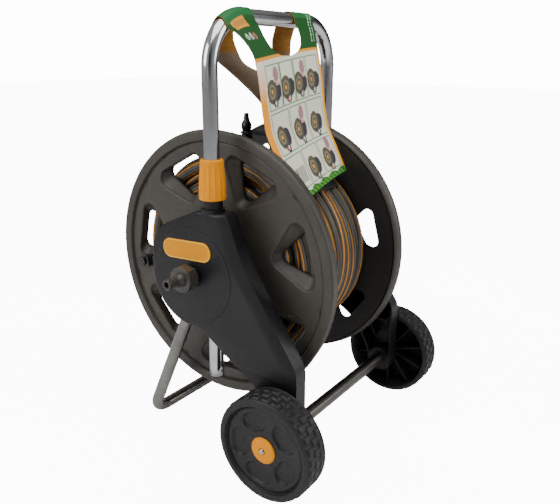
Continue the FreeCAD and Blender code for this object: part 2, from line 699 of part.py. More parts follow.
def water_tube():
    """Swivel cup, tube along the axle and elbow up to the hose spigot."""
    cup_out = STUB_BORE_R
    start = -CUP_START_X
    end = -STEM_END_X + 2.0
    body = turned([(start, 0), (start, cup_out), (-FLANGE_WEB_X + FLANGE_WALL, cup_out),
                   (end + 6, STEM_R + 1), (SPIGOT_X + STEM_R, STEM_R + 1), (SPIGOT_X + STEM_R, 0)])
    riser = Part.makeCylinder(STEM_R, CORE_R - CORE_WALL - 4, Vector(SPIGOT_X, 0, DRUM_Z), Vector(0, 0, 1))
    bore = cyl(STEM_BORE_R, start - 1, SPIGOT_X)
    cup = cyl(CUP_R, start - 1, end)
    up = Part.makeCylinder(STEM_BORE_R, CORE_R, Vector(SPIGOT_X, 0, DRUM_Z), Vector(0, 0, 1))
    return body.fuse(riser).cut([bore, cup, up]).removeSplitter()


def hose_spigot():
    """Barbed outlet through the core wall that the inner end of the hose pushes onto."""
    foot = DRUM_Z + CORE_R - CORE_WALL - 4
    body = Part.makeCylinder(SPIGOT_R - 0.1, 5.5, Vector(SPIGOT_X, 0, foot), Vector(0, 0, 1))
    flange = Part.makeCylinder(SPIGOT_R + 2.5, 2.0, Vector(SPIGOT_X, 0, foot), Vector(0, 0, 1))
    bore = Part.makeCylinder(STEM_BORE_R - 1.5, 10, Vector(SPIGOT_X, 0, foot - 1), Vector(0, 0, 1))
    return body.fuse(flange).cut(bore).removeSplitter()


def hose_coil():
    """Outer shape of the wound hose: full layers, and the last turn beside the near flange."""
    inner = CORE_R + 0.1
    side = CHEEK_X - 0.2
    last = COIL_R + HOSE_D - 1.5
    return turned([(-side, inner), (-side, last), (-side + HOSE_D, last), (-side + HOSE_D, COIL_R),
                   (side, COIL_R), (side, inner)])


def hose_end_connector():
    """Quick connector on the free end of the hose, lying on the coil."""
    y, z = polar(COIL_R + CONNECTOR_R + CLEAR, HOSE_END_DEG)
    angle = math.radians(HOSE_END_DEG)
    along = Vector(0, math.sin(angle), -math.cos(angle))
    start = Vector(-CHEEK_X + HOSE_D + CONNECTOR_R + 1.0, y, z) - along * (CONNECTOR_LENGTH / 2)
    nut_length = CONNECTOR_LENGTH - CONNECTOR_BORE - 3.0
    socket_start = start + along * nut_length
    nut = Part.makeCylinder(CONNECTOR_R - 0.8, nut_length, start, along)
    socket = Part.makeCylinder(CONNECTOR_R, CONNECTOR_LENGTH - nut_length, socket_start, along)
    bore = Part.makeCylinder(INLET_NOSE_R + 0.1, CONNECTOR_LENGTH, socket_start + along * 3.0, along)
    return nut.fuse(socket).cut(bore).removeSplitter()


def hose_strap():
    """Flat tie across the coil that keeps the last turns from springing."""
    half = CHEEK_X - HOSE_D - 2.0
    block = Part.makeBox(2 * half, STRAP_T, STRAP_WIDTH, Vector(-half, COIL_R + 0.2, -STRAP_WIDTH / 2))
    block.rotate(Vector(0, 0, 0), Vector(1, 0, 0), STRAP_DEG)
    block.translate(Vector(0, 0, DRUM_Z))
    return block


# ---------------------------------------------------------------- crank
def crank_arm():
    """Moulded arm, square-bored at the drum and carrying the spindle at its end."""
    low = DRUM_Z - CRANK_R
    hub = cyl(20.0, CRANK_IN_X, CRANK_IN_X + CRANK_T)
    eye = cyl(13.0, CRANK_IN_X, CRANK_IN_X + CRANK_T, 0, low)
    corners = [(-15, DRUM_Z, 0.5), (15, DRUM_Z, 0.5), (11, low, 0.5), (-11, low, 0.5)]
    arm = prism(rounded_wire(corners, CRANK_IN_X), CRANK_T)
    solid = hub.fuse([eye, arm]).removeSplitter()
    solid = round_edges(solid, 2.5, edges_at_x(CRANK_IN_X + CRANK_T))
    half = CRANK_SQUARE / 2
    square = Part.makeBox(CRANK_T + 2, CRANK_SQUARE, CRANK_SQUARE,
                           Vector(CRANK_IN_X - 1, -half, DRUM_Z - half))
    return solid.cut([square, cyl(SPINDLE_R, CRANK_IN_X - 1, CRANK_IN_X + CRANK_T + 1, 0, low)])


def crank_screw():
    """Screw with a wide washer head that holds the arm on the stub."""
    end = CRANK_IN_X + CRANK_T
    head = cyl(CRANK_SQUARE * 0.62, end, end + 3.0)
    head = round_edges(head, 1.5, edges_at_x(end + 3.0))
    return head.fuse(cyl(SCREW_R - 0.1, end - 18, end)).removeSplitter()


def grip_spindle():
    """Headed pin that the grip turns on."""
    low = DRUM_Z - CRANK_R
    shank = cyl(SPINDLE_R, CRANK_IN_X, GRIP_END_X - 8.0, 0, low)
    head = cyl(SPINDLE_R + 3.0, GRIP_END_X - 8.0, GRIP_END_X - 5.0, 0, low)
    return shank.fuse(head).removeSplitter()


def crank_grip():
    """Waisted grip that spins on the spindle."""
    low = DRUM_Z - CRANK_R
    x0, x1 = GRIP_IN_X, GRIP_END_X
    length = GRIP_LENGTH
    body = turned([(x0, 0), (x0, GRIP_R - 4.5), (x0 + 3, GRIP_R - 2.5), (x0 + 0.35 * length, GRIP_R - 3.2),
                   (x0 + 0.7 * length, GRIP_R - 0.8), (x0 + 0.85 * length, GRIP_R), (x1 - 4, GRIP_R - 0.8),
                   (x1 - 1, GRIP_R - 3.2), (x1, GRIP_R - 6.0), (x1, 0)], 0, low)
    bore = cyl(SPINDLE_R + RUN_FIT, x0 - 1, x1 - 8.0 - CLEAR, 0, low)
    well = cyl(SPINDLE_R + 3.0 + CLEAR, x1 - 8.0 - CLEAR, x1 + 1, 0, low)
    return body.cut([bore, well]).removeSplitter()


# ---------------------------------------------------------------- handle
def handle_tube():
    """U-shaped grip bar with two long legs."""
    path = u_path(HANDLE_X, HANDLE_Y, HANDLE_BOTTOM_Z, HANDLE_BEND_R, HANDLE_Y, HANDLE_TOP_Z)
    tube = pipe(path, TUBE_R, HANDLE_WALL)
    holes = [stop_pin(side) for side in (-1, 1)]
    return tube.cut(holes)


def stop_pin(side):
    """Cross pin near the foot of a leg that stops it leaving its guide."""
    length = HANDLE_D + 2 * STOP_PIN_PROUD
    return Part.makeCylinder(STOP_PIN_D / 2, length,
                             Vector(side * HANDLE_X, HANDLE_Y - length / 2, STOP_PIN_Z), Vector(0, 1, 0))


def handle_stop_pins():
    """Both cross pins."""
    return Part.makeCompound([stop_pin(side) for side in (-1, 1)])


def handle_end_plugs():
    """Plastic plugs in the feet of the handle's legs."""
    plugs = []
    for side in (-1, 1):
        x = side * HANDLE_X
        body = upright(TUBE_R - HANDLE_WALL, HANDLE_BOTTOM_Z, STOP_PIN_Z - STOP_PIN_D / 2, x, HANDLE_Y)
        lip = upright(TUBE_R, HANDLE_BOTTOM_Z - 1.5, HANDLE_BOTTOM_Z, x, HANDLE_Y)
        plugs.append(body.fuse(lip).removeSplitter())
    return Part.makeCompound(plugs)


def near_collar():
    """Fluted twist collar that squeezes the collet on the handle's leg."""
    height = COLLAR_TOP_Z - COLLAR_BOTTOM_Z
    z0, z1 = COLLAR_BOTTOM_Z, COLLAR_TOP_Z
    outer = turned_up([(0, z0), (COLLAR_BOTTOM_R - 1.2, z0), (COLLAR_BOTTOM_R, z0 + 1.5),
                       (COLLAR_BOTTOM_R, z0 + 0.2 * height), (COLLAR_TOP_R + 1.4, z0 + 0.7 * height),
                       (COLLAR_TOP_R, z1 - 1.5), (COLLAR_TOP_R - 1.0, z1), (0, z1)], -HANDLE_X, HANDLE_Y)
    bore = turned_up([(0, z0 - 1), (POST_R + COLLAR_GAP, z0 - 1),
                      (POST_R + COLLAR_GAP, POST_TOP_Z + COLLAR_GAP),
                      (TUBE_R + COLLET_WALL + COLLAR_GAP + 0.4, POST_TOP_Z + COLLAR_GAP + 1.0),
                      (TUBE_R + COLLET_WALL + COLLAR_GAP, z1 - 3.0),
                      (TUBE_R + CLEAR, z1 - 3.0), (TUBE_R + CLEAR, z1 + 1), (0, z1 + 1)],
                     -HANDLE_X, HANDLE_Y)
    flutes = []
    for i in range(COLLAR_FLUTES):
        angle = 2 * math.pi * (i + 0.5) / COLLAR_FLUTES
        reach = COLLAR_BOTTOM_R + 1.6
        top_reach = COLLAR_TOP_R + 2.1
        foot = Vector(-HANDLE_X + reach * math.cos(angle), HANDLE_Y + reach * math.sin(angle), z0 - 1)
        head = Vector(-HANDLE_X + top_reach * math.cos(angle), HANDLE_Y + top_reach * math.sin(angle),
                      z1 - 4)
        flutes.append(Part.makeCylinder(2.4, (head - foot).Length, foot, head - foot))
    return outer.cut([bore] + flutes).removeSplitter()


def near_collet():
    """Split collet seated on the post, round the handle's leg."""
    bottom = POST_TOP_Z
    top = COLLAR_TOP_Z - 3.0 - COLLAR_GAP
    r = TUBE_R + RUN_FIT
    sleeve = turned_up([(r, bottom), (r + COLLET_WALL + 0.3, bottom), (r + COLLET_WALL + 0.3, bottom + 0.8),
                        (r + COLLET_WALL - 0.2, top), (r, top)], -HANDLE_X, HANDLE_Y)
    slits = []
    for i in range(4):
        slit = Part.makeBox(TUBE_R + 8, 1.6, top - bottom, Vector(0, -0.8, bottom + 2.0))
        slit.rotate(Vector(0, 0, 0), Vector(0, 0, 1), 45 + 90 * i)
        slit.translate(Vector(-HANDLE_X, HANDLE_Y, 0))
        slits.append(slit)
    return sleeve.cut(slits).removeSplitter()


# ---------------------------------------------------------------- card sleeve and fittings
def card_section():
    """Centre line of the folded card in the YZ plane: front panel, fold over the bar, back."""
    over = []
    for degrees in (200, 170, 140, 110, 80, 50, 20):
        angle = math.radians(degrees)
        over.append((HANDLE_Y + CARD_TOP_R * math.cos(angle), HANDLE_TOP_Z + CARD_TOP_R * math.sin(angle)))
    front = [(HANDLE_Y + y, z) for y, z in CARD_FRONT]
    back = [(HANDLE_Y + y, z) for y, z in CARD_BACK]
    return front + over + back


def card_sleeve():
    """Folded display card: a panel that hangs from two straps over the grip bar."""
    line = [Vector(CARD_LEFT, y, z) for y, z in card_section()]
    half = CARD_T / 2
    left, right = [], []
    for i, point in enumerate(line):
        before = line[max(i - 1, 0)]
        after = line[min(i + 1, len(line) - 1)]
        side = Vector(1, 0, 0).cross((after - before).normalize()) * half
        left.append(point + side)
        right.append(point - side)
    ring = left + right[::-1]
    sheet = Part.Face(Part.makePolygon(ring + [ring[0]])).extrude(Vector(CARD_RIGHT - CARD_LEFT, 0, 0))
    hand_hole = Part.makeBox(CARD_HOLE_RIGHT - CARD_HOLE_LEFT, 140, 200,
                             Vector(CARD_HOLE_LEFT, HANDLE_Y - 70, CARD_HOLE_Z))
    back_hole = Part.makeBox(CARD_HOLE_RIGHT - CARD_HOLE_LEFT, 70, 40,
                             Vector(CARD_HOLE_LEFT, HANDLE_Y - 10, CARD_HOLE_Z - 30))
    return sheet.cut([hand_hole, back_hole]).removeSplitter()


def hose_nozzle():
    """Spray nozzle packed with the cart: barrel, grip ring and tip."""
    return turned_up([(0, NOZZLE_Z), (8.6, NOZZLE_Z), (9.4, NOZZLE_Z + 1), (9.4, NOZZLE_Z + 12),
                      (7.0, NOZZLE_Z + 15), (6.2, NOZZLE_Z + 20), (7.6, NOZZLE_Z + 23),
                      (8.0, NOZZLE_Z + 27), (7.4, NOZZLE_Z + 31), (4.6, NOZZLE_Z + 36),
                      (3.4, NOZZLE_Z + 46), (0, NOZZLE_Z + 46)], NOZZLE_X, NOZZLE_Y)


def nozzle_holder():
    """Clip that hangs the packed nozzle on the card's back panel."""
    plate_y = HANDLE_Y - 22.0
    plate = Part.makeBox(26, 10, 3, Vector(NOZZLE_X - 13, NOZZLE_Y - 14, NOZZLE_Z + 16))
    ring = upright(9.0, NOZZLE_Z + 16, NOZZLE_Z + 19, NOZZLE_X, NOZZLE_Y)
    arm = Part.makeBox(12, NOZZLE_Y - 12 - plate_y, 3, Vector(NOZZLE_X - 6, plate_y, NOZZLE_Z + 16))
    hole = turned_up([(0, NOZZLE_Z), (7.2, NOZZLE_Z), (7.2, NOZZLE_Z + 40), (0, NOZZLE_Z + 40)],
                     NOZZLE_X, NOZZLE_Y)
    return ring.fuse([plate, arm]).cut(hole).removeSplitter()


# ---------------------------------------------------------------- stand, axle, wheels
def stand_tube():
    """U-shaped stand: crossbar on the floor and two leaning legs into the side frames."""
    up = stand_direction()
    foot = stand_foot(0)
    top = foot + up * ((STAND_TOP_Z - STAND_R) / up.z)
    path = u_path(STAND_X, top.y, top.z, STAND_BEND_R, foot.y, foot.z)
    screws = [cyl(SCREW_R, -FRAME_OUT_X, -FRAME_IN_X, *stand_screw_yz()),
              cyl(SCREW_R, FRAME_IN_X, FRAME_OUT_X, *stand_screw_yz())]
    return pipe(path, STAND_R, STAND_WALL).cut(screws)


def stand_screws():
    """Screws that pin the legs of the stand in the side frames."""
    y, z = stand_screw_yz()
    tip = -FRAME_OUT_X + FRAME_WALL
    head_x = -STAND_X + STAND_R + 3.0
    screw = cyl(SCREW_R - 0.1, tip, head_x, y, z).fuse(cyl(2 * SCREW_R, head_x, head_x + 2.2, y, z))
    return Part.makeCompound([screw, mirrored(screw)])


def axle_tube():
    """Spacer tube between the axle lugs."""
    half = AXLE_TUBE_END_X
    outer = cyl(AXLE_TUBE_R, -half, half, AXLE_Y, WHEEL_Z)
    return outer.cut(cyl(AXLE_TUBE_R - AXLE_TUBE_WALL, -half - 1, half + 1, AXLE_Y, WHEEL_Z))


def axle_rod():
    """Steel rod through the lugs, the tube and both wheels."""
    rod = cyl(AXLE_ROD_R, -AXLE_END_X, AXLE_END_X, AXLE_Y, WHEEL_Z)
    return rod.makeChamfer(1.0, [edge for edge in rod.Edges if edge.BoundBox.XLength < 1e-6])


def axle_push_nuts():
    """Toothed retaining rings on both ends of the rod."""
    inner = WHEEL_OUT_X - WHEEL_DISH - 1.0
    ring = cyl(9.0, -inner - 1.2, -inner, AXLE_Y, WHEEL_Z)
    ring = ring.cut(cyl(AXLE_ROD_R, -inner - 2, -inner + 1, AXLE_Y, WHEEL_Z))
    return Part.makeCompound([ring, mirrored(ring)])


def near_wheel():
    """One-piece wheel: treaded tyre band, dished face, hub and ribs on the inside."""
    x_out = -WHEEL_OUT_X
    x_in = -WHEEL_IN_X
    face = x_out + WHEEL_DISH
    wall = WHEEL_WALL
    section = [
        (face, 0), (face, WHEEL_BAND_R - 3), (face + 1.5, WHEEL_BAND_R - 1.5), (face + 1.5, WHEEL_BAND_R),
        (x_out + 1.0, WHEEL_BAND_R + 1.2), (x_out, WHEEL_BAND_R + 3), (x_out + 0.6, WHEEL_R - 4.5),
        (x_out + 3.5, WHEEL_R - 1.2), (x_out + 6.0, WHEEL_R), (x_in - 4.0, WHEEL_R),
        (x_in, WHEEL_R - 3.5), (x_in, WHEEL_R - 3.5 - wall), (face + wall + 6, WHEEL_R - 8 - wall),
        (face + wall, WHEEL_R - 14 - wall), (face + wall, WHEEL_HUB_R), (x_in, WHEEL_HUB_R),
        (x_in, 0)]
    wheel = turned(section, AXLE_Y, WHEEL_Z)
    ribs = []
    for i in range(WHEEL_RIBS):
        rib = Part.makeBox(WHEEL_WIDTH - WHEEL_DISH - wall - 7, WHEEL_R - 10 - WHEEL_HUB_R + 2, RIB_T,
                           Vector(face + wall - 0.5, WHEEL_HUB_R - 2, -RIB_T / 2))
        rib.rotate(Vector(0, 0, 0), Vector(1, 0, 0), 360.0 / WHEEL_RIBS * (i + 0.5))
        rib.translate(Vector(0, AXLE_Y, WHEEL_Z))
        ribs.append(rib)
    wheel = wheel.fuse(ribs)
    cuts = [cyl(AXLE_ROD_R + RUN_FIT, x_out - 1, x_in + 1, AXLE_Y, WHEEL_Z),
            cyl(WHEEL_CAP_R - 2.5, face - 1, face + 2.6, AXLE_Y, WHEEL_Z)]
    cuts += wheel_pockets(face) + tread_grooves()
    return wheel.cut(cuts).removeSplitter()


def wheel_pockets(face):
    """Rounded pockets sunk in the wheel's face."""
    pockets = []
    for i in range(WHEEL_POCKETS):
        corners = [(28, -17, 13), (55, -21, 13), (55, 21, 13), (28, 17, 13)]
        pocket = prism(rounded_wire(corners, face - 1), 4.0)
        pocket.rotate(Vector(0, 0, 0), Vector(1, 0, 0), -76 + 360.0 / WHEEL_POCKETS * i)
        pocket.translate(Vector(0, AXLE_Y, WHEEL_Z))
        pockets.append(pocket)
    return pockets


def tread_grooves():
    """Staggered bites out of the tread on its two shoulders and a broken centre groove."""
    grooves = []
    step = 360.0 / WHEEL_TREADS
    third = WHEEL_WIDTH / 3
    for i in range(WHEEL_TREADS):
        for side, offset, length in ((0, 0.0, third), (1, 0.5, third), (2, 0.0, third)):
            x = -WHEEL_OUT_X + 5.0 + side * (third - 2.0)
            bite = Part.makeBox(length - 5.0, 6.0, 5.0, Vector(x, WHEEL_R - 2.4, -2.5))
            bite.rotate(Vector(0, 0, 0), Vector(1, 0, 0), step * (i + offset))
            bite.translate(Vector(0, AXLE_Y, WHEEL_Z))
            grooves.append(bite)
    return grooves


def near_wheel_cap():
    """Domed cap that clips into the wheel's hub over the push nut."""
    face = -WHEEL_OUT_X + WHEEL_DISH
    dome = turned([(face, AXLE_ROD_R + CLEAR), (face, WHEEL_CAP_R), (face - 0.8, WHEEL_CAP_R),
                   (face - 2.4, WHEEL_CAP_R - 4), (face - 3.6, WHEEL_CAP_R - 9),
                   (face - 4.2, AXLE_ROD_R + 2), (face - 3.6, AXLE_ROD_R + CLEAR)], AXLE_Y, WHEEL_Z)
    skirt_r = WHEEL_CAP_R - 2.5
    skirt = turned([(face, skirt_r - 2), (face + 2.4, skirt_r - 2), (face + 2.4, skirt_r),
                    (face, skirt_r)], AXLE_Y, WHEEL_Z)
    well = turned([(face + 1, 0), (face + 1, 9.6), (face - 1.8, 9.6), (face - 1.8, 0)], AXLE_Y, WHEEL_Z)
    return dome.fuse(skirt).cut(well).removeSplitter()


# ---------------------------------------------------------------- build and export
def all_pieces():
    """Every node with its shape, near-side pieces mirrored where the far one is the same."""
    near = {
        "near_badge": near_badge(),
        "near_bush": near_bush(),
        "near_collar": near_collar(),
        "near_collet": near_collet(),
        "near_wheel": near_wheel(),
        "near_wheel_cap": near_wheel_cap(),
    }
    far = {name.replace("near", "far"): mirrored(shape) for name, shape in near.items()}
    single = {
        "near_frame": near_frame(),
        "far_frame": far_frame(),
        "near_hub_cover": near_hub_cover(),
        "far_hub_cover": far_hub_cover(),
        "inlet_stem": inlet_stem(),
        "inlet_nut": inlet_nut(),
        "inlet_plug": inlet_plug(),
        "stem_o_rings": stem_o_rings(),
        "near_flange": near_flange(),
        "far_flange": far_flange(),
        "near_core_half": near_core_half(),
        "far_core_half": mirrored(core_half()),
        "core_screws": core_screws(),
        "water_tube": water_tube(),
        "hose_spigot": hose_spigot(),
        "hose_coil": hose_coil(),
        "hose_end_connector": hose_end_connector(),
        "hose_strap": hose_strap(),
        "hose_clip": hose_clip(),
        "crank_arm": crank_arm(),
        "crank_screw": crank_screw(),
        "grip_spindle": grip_spindle(),
        "crank_grip": crank_grip(),
        "handle_tube": handle_tube(),
        "handle_stop_pins": handle_stop_pins(),
        "handle_end_plugs": handle_end_plugs(),
        "card_sleeve": card_sleeve(),
        "hose_nozzle": hose_nozzle(),
        "nozzle_holder": nozzle_holder(),
        "stand_tube": stand_tube(),
        "stand_screws": stand_screws(),
        "axle_tube": axle_tube(),
        "axle_rod": axle_rod(),
        "axle_push_nuts": axle_push_nuts(),
    }
    return {**near, **far, **single}


def main():
    """Write one STEP file per node."""
    os.makedirs("parts", exist_ok=True)
    for name, shape in all_pieces().items():
        placed = shape.copy()
        placed.translate(ORIGIN_SHIFT)
        placed.exportStep(f"parts/{name}.step")
        print(name, "solids", len(placed.Solids), "valid", placed.isValid(),
              "volume", round(placed.Volume / 1000, 2))


main()
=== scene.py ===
import logging
import math
from dataclasses import dataclass
from enum import Enum
from typing import Callable, Iterable, Optional, Sequence

import bmesh
import bpy
import numpy as np
from mathutils import Matrix, Vector


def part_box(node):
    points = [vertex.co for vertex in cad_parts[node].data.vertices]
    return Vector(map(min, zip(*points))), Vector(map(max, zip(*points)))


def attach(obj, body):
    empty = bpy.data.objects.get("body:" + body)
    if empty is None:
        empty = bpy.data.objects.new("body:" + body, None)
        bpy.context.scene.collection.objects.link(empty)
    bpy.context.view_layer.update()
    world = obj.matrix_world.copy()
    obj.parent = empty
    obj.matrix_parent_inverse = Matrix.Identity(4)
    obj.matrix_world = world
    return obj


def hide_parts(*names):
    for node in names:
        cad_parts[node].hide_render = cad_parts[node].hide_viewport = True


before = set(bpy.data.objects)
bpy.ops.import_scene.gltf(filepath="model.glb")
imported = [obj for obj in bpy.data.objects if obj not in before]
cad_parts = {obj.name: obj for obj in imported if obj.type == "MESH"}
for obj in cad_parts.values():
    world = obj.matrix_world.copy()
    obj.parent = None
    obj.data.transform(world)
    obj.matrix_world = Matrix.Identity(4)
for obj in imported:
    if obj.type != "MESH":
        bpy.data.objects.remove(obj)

LOG = logging.getLogger("hose_cart")
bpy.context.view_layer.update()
MM = 0.001
NEVER = 1e9  # the share of a line at which it meets something that it misses


def cart_origin() -> np.ndarray:
    """The point under the drum's middle, which the cart's own millimetres start from."""
    near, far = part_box("near_wheel"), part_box("far_wheel")
    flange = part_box("near_flange")
    return np.array([(near[0].x + far[1].x) / 2, (flange[0].y + flange[1].y) / 2, 0.0])


ORIGIN = cart_origin()
AXLE_Z = sum(corner.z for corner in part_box("near_flange")) / 2 / MM


def placed(points: np.ndarray) -> np.ndarray:
    """Turn the cart's millimetres into metres of the shared frame."""
    return np.asarray(points, float) * MM + ORIGIN


class Body(str, Enum):
    """The moving bodies that a piece can ride on."""

    FRAME = "frame"
    HANDLE = "handle"
    NEAR_COLLAR = "near_collar"
    FAR_COLLAR = "far_collar"
    DRUM = "drum"
    GRIP = "crank_grip"
    NEAR_WHEEL = "near_wheel"
    FAR_WHEEL = "far_wheel"


class Side(Enum):
    """The inlet side of the cart lies at low X and the crank side at high X."""

    NEAR = 1
    FAR = -1

    @property
    def label(self) -> str:
        """The word that starts the names of this side's pieces."""
        return self.name.lower()


# ------------------------------------------------------------------ surfaces
@dataclass
class Patch:
    """A stretch of surface: points in cart millimetres, four-sided faces, map and colour."""

    points: np.ndarray
    faces: np.ndarray
    uv: Optional[np.ndarray] = None
    colour: Optional[np.ndarray] = None

    def flipped(self) -> "Patch":
        """The same patch seen from its other side."""
        return Patch(self.points, self.faces[:, ::-1], self.uv, self.colour)

    def on(self, side: Side) -> "Patch":
        """The patch as it is on one side of the cart, given for the near one."""
        if side is Side.NEAR:
            return self
        return Patch(self.points * [-1, 1, 1], self.faces[:, ::-1], self.uv, self.colour)


def grid(points: np.ndarray, uv: Optional[np.ndarray] = None,
         colour: Optional[np.ndarray] = None) -> Patch:
    """Make a patch from a grid of points: face (i, j) joins its four corners in order.

    Args:
        points: array (rows, columns, 3) in cart millimetres.
        uv: array (rows, columns, 2) of map coordinates.
        colour: array (rows, columns, 4) of linear colours.

    Returns:
        The patch, with (rows - 1) * (columns - 1) faces.
    """
    rows, columns = points.shape[:2]
    index = np.arange(rows * columns).reshape(rows, columns)
    faces = np.stack([index[:-1, :-1], index[1:, :-1], index[1:, 1:], index[:-1, 1:]], -1)
    return Patch(points.reshape(-1, 3), faces.reshape(-1, 4),
                 None if uv is None else uv.reshape(-1, 2),
                 None if colour is None else colour.reshape(-1, 4))


def turned(profile: Sequence[tuple[float, float]], steps: int = 96, y: float = 0.0,
           z: Optional[float] = None, swell: Optional[Callable] = None) -> Patch:
    """Turn an (x, radius) profile about an axis along X: y = r cos a, z = r sin a.

    Args:
        profile: points of the profile in millimetres, outside surface on its left.
        steps: divisions of the circle.
        y: the axis's place along Y.
        z: the axis's height, the drum's axle if none is given.
        swell: function of (x, radius, angle) arrays that returns the shaped (x, radius).

    Returns:
        The turned patch, with its own (length, turn) map.
    """
    line = np.asarray(profile, float)
    angle = np.linspace(0, 2 * np.pi, steps + 1)
    x, radius, turn = np.broadcast_arrays(line[:, :1], line[:, 1:], angle[None, :])
    if swell is not None:
        x, radius = swell(x, radius, turn)
    height = AXLE_Z if z is None else z
    points = np.stack([x, y + radius * np.cos(turn), height + radius * np.sin(turn)], -1)
    run = np.concatenate([[0], np.cumsum(np.linalg.norm(np.diff(line, axis=0), axis=1))])
    uv = np.stack(np.broadcast_arrays(run[:, None], turn), -1)
    return grid(points, uv)


def swept(path: np.ndarray, radius: float, normal: Sequence[float], steps: int = 32) -> Patch:
    """Carry a circle along a path that lies in one plane: p + r (n cos a + t x n sin a).

    Args:
        path: array (count, 3) of centre points.
        radius: the circle's radius.
        normal: the plane's unit normal n, square to the path's direction t.
        steps: divisions of the circle.

    Returns:
        The tube's skin, mapped by millimetres along the path and by turn.
    """
    along = np.gradient(path, axis=0)
    along /= np.linalg.norm(along, axis=1, keepdims=True)
    first = np.broadcast_to(np.asarray(normal, float), along.shape)
    second = np.cross(along, first)
    turn = np.linspace(0, 2 * np.pi, steps + 1)[None, :, None]
    ring = first[:, None] * np.cos(turn) + second[:, None] * np.sin(turn)
    points = path[:, None] + radius * ring
    run = np.concatenate([[0], np.cumsum(np.linalg.norm(np.diff(path, axis=0), axis=1))])
    uv = np.stack(np.broadcast_arrays(run[:, None], turn[0, :, 0][None, :] / (2 * np.pi)), -1)
    return grid(points, uv).flipped()


def smooth_step(value: np.ndarray, low: float, high: float) -> np.ndarray:
    """Rise from 0 at low to 1 at high along 3t^2 - 2t^3."""
    t = np.clip((value - low) / (high - low), 0, 1)
    return t * t * (3 - 2 * t)


def hump(value: np.ndarray, rise: tuple[float, float], fall: tuple[float, float]) -> np.ndarray:
    """Rise smoothly from 0 to 1 over one stretch and fall back to 0 over another."""
    return smooth_step(value, *rise) * (1 - smooth_step(value, *fall))


def spoke(angle: float) -> tuple[np.ndarray, np.ndarray]:
    """The unit ways straight out from an axis along X and round it, at an angle from +Y."""
    out = np.array([0, math.cos(angle), math.sin(angle)])
    round_axis = np.array([0, -math.sin(angle), math.cos(angle)])
    return out, round_axis


def build(name: str, patches: Iterable[Patch], closed: bool = True,
          corner_deg: float = 38.0) -> bpy.types.Object:
    """Weld patches into one smooth mesh whose object sits at the origin.

    Args:
        name: the piece's name.
        patches: its surfaces; points a thousandth of a millimetre apart become one.
        closed: whether the faces are turned outwards again after the weld.
        corner_deg: edges sharper than this stay sharp.

    Returns:
        The new object.
    """
    patches = list(patches)
    starts = np.cumsum([0] + [len(p.points) for p in patches[:-1]])
    points = np.concatenate([p.points for p in patches])
    faces = np.concatenate([p.faces + start for p, start in zip(patches, starts)])
    _, first, welded = np.unique(np.round(points, 3) + 0.0, axis=0, return_index=True,
                                 return_inverse=True)
    welded = welded.reshape(-1)
    corners = welded[faces]
    doubled = corners == np.roll(corners, -1, axis=1)
    whole = faces[doubled.sum(1) == 0]
    folded = faces[doubled.sum(1) == 1]
    keep = np.arange(4)[None, :] != doubled[doubled.sum(1) == 1].argmax(1)[:, None]
    thirds = folded[keep].reshape(-1, 3)
    source = np.concatenate([whole.reshape(-1), thirds.reshape(-1)])
    sizes = np.concatenate([np.full(len(whole), 4), np.full(len(thirds), 3)])
    mesh = bpy.data.meshes.new(name)
    mesh.vertices.add(len(first))
    mesh.vertices.foreach_set("co", placed(points[first]).ravel())
    mesh.loops.add(len(source))
    mesh.loops.foreach_set("vertex_index", welded[source])
    mesh.polygons.add(len(sizes))
    mesh.polygons.foreach_set("loop_start", np.concatenate([[0], np.cumsum(sizes)[:-1]]))
    if all(p.uv is not None for p in patches):
        uv = np.concatenate([p.uv for p in patches])[source]
        mesh.uv_layers.new(name="UVMap").data.foreach_set("uv", uv.ravel())
    if all(p.colour is not None for p in patches):
        colour = np.concatenate([p.colour for p in patches])[source]
        layer = mesh.color_attributes.new("print", "FLOAT_COLOR", "CORNER")
        layer.data.foreach_set("color", colour.ravel())
    mesh.update(calc_edges=True)
    mesh.validate()
    return finished_mesh(name, mesh, closed, corner_deg)


def finished_mesh(name: str, mesh: bpy.types.Mesh, closed: bool,
                  corner_deg: float) -> bpy.types.Object:
    """Turn a closed mesh's faces outwards, shade it smooth up to an angle and show it."""
    if closed:
        work = bmesh.new()
        work.from_mesh(mesh)
        bmesh.ops.recalc_face_normals(work, faces=work.faces)
        work.to_mesh(mesh)
        work.free()
    mesh.shade_smooth()
    mesh.set_sharp_from_angle(angle=math.radians(corner_deg))
    piece = bpy.data.objects.new(name, mesh)
    bpy.context.scene.collection.objects.link(piece)
    return piece


def merged_copy(node: str, corner_deg: float = 32.0) -> bpy.types.Object:
    """Copy a CAD node's loose triangles into one welded, smoothly shaded mesh.

    Args:
        node: the CAD node's name.
        corner_deg: edges sharper than this stay sharp.

    Returns:
        The new object, named for the node.
    """
    work = bmesh.new()
    work.from_mesh(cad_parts[node].data)
    bmesh.ops.remove_doubles(work, verts=work.verts, dist=3e-6)
    bmesh.ops.dissolve_limit(work, angle_limit=math.radians(0.4), verts=work.verts,
                             edges=work.edges)
    mesh = bpy.data.meshes.new(node + "_skin")
    work.to_mesh(mesh)
    work.free()
    if "custom_normal" in mesh.attributes:
        mesh.attributes.remove(mesh.attributes["custom_normal"])
    return finished_mesh(node + "_skin", mesh, False, corner_deg)


def bevelled(piece: bpy.types.Object, width_mm: float, steps: int = 2,
             corner_deg: float = 32.0) -> bpy.types.Object:
    """Round a piece's sharp edges with a live bevel, as a mould's edges are."""
    bevel = piece.modifiers.new("edge_rounding", "BEVEL")
    bevel.width = width_mm * MM
    bevel.segments = steps
    bevel.limit_method = "ANGLE"
    bevel.angle_limit = math.radians(corner_deg)
    bevel.harden_normals = True
    return piece


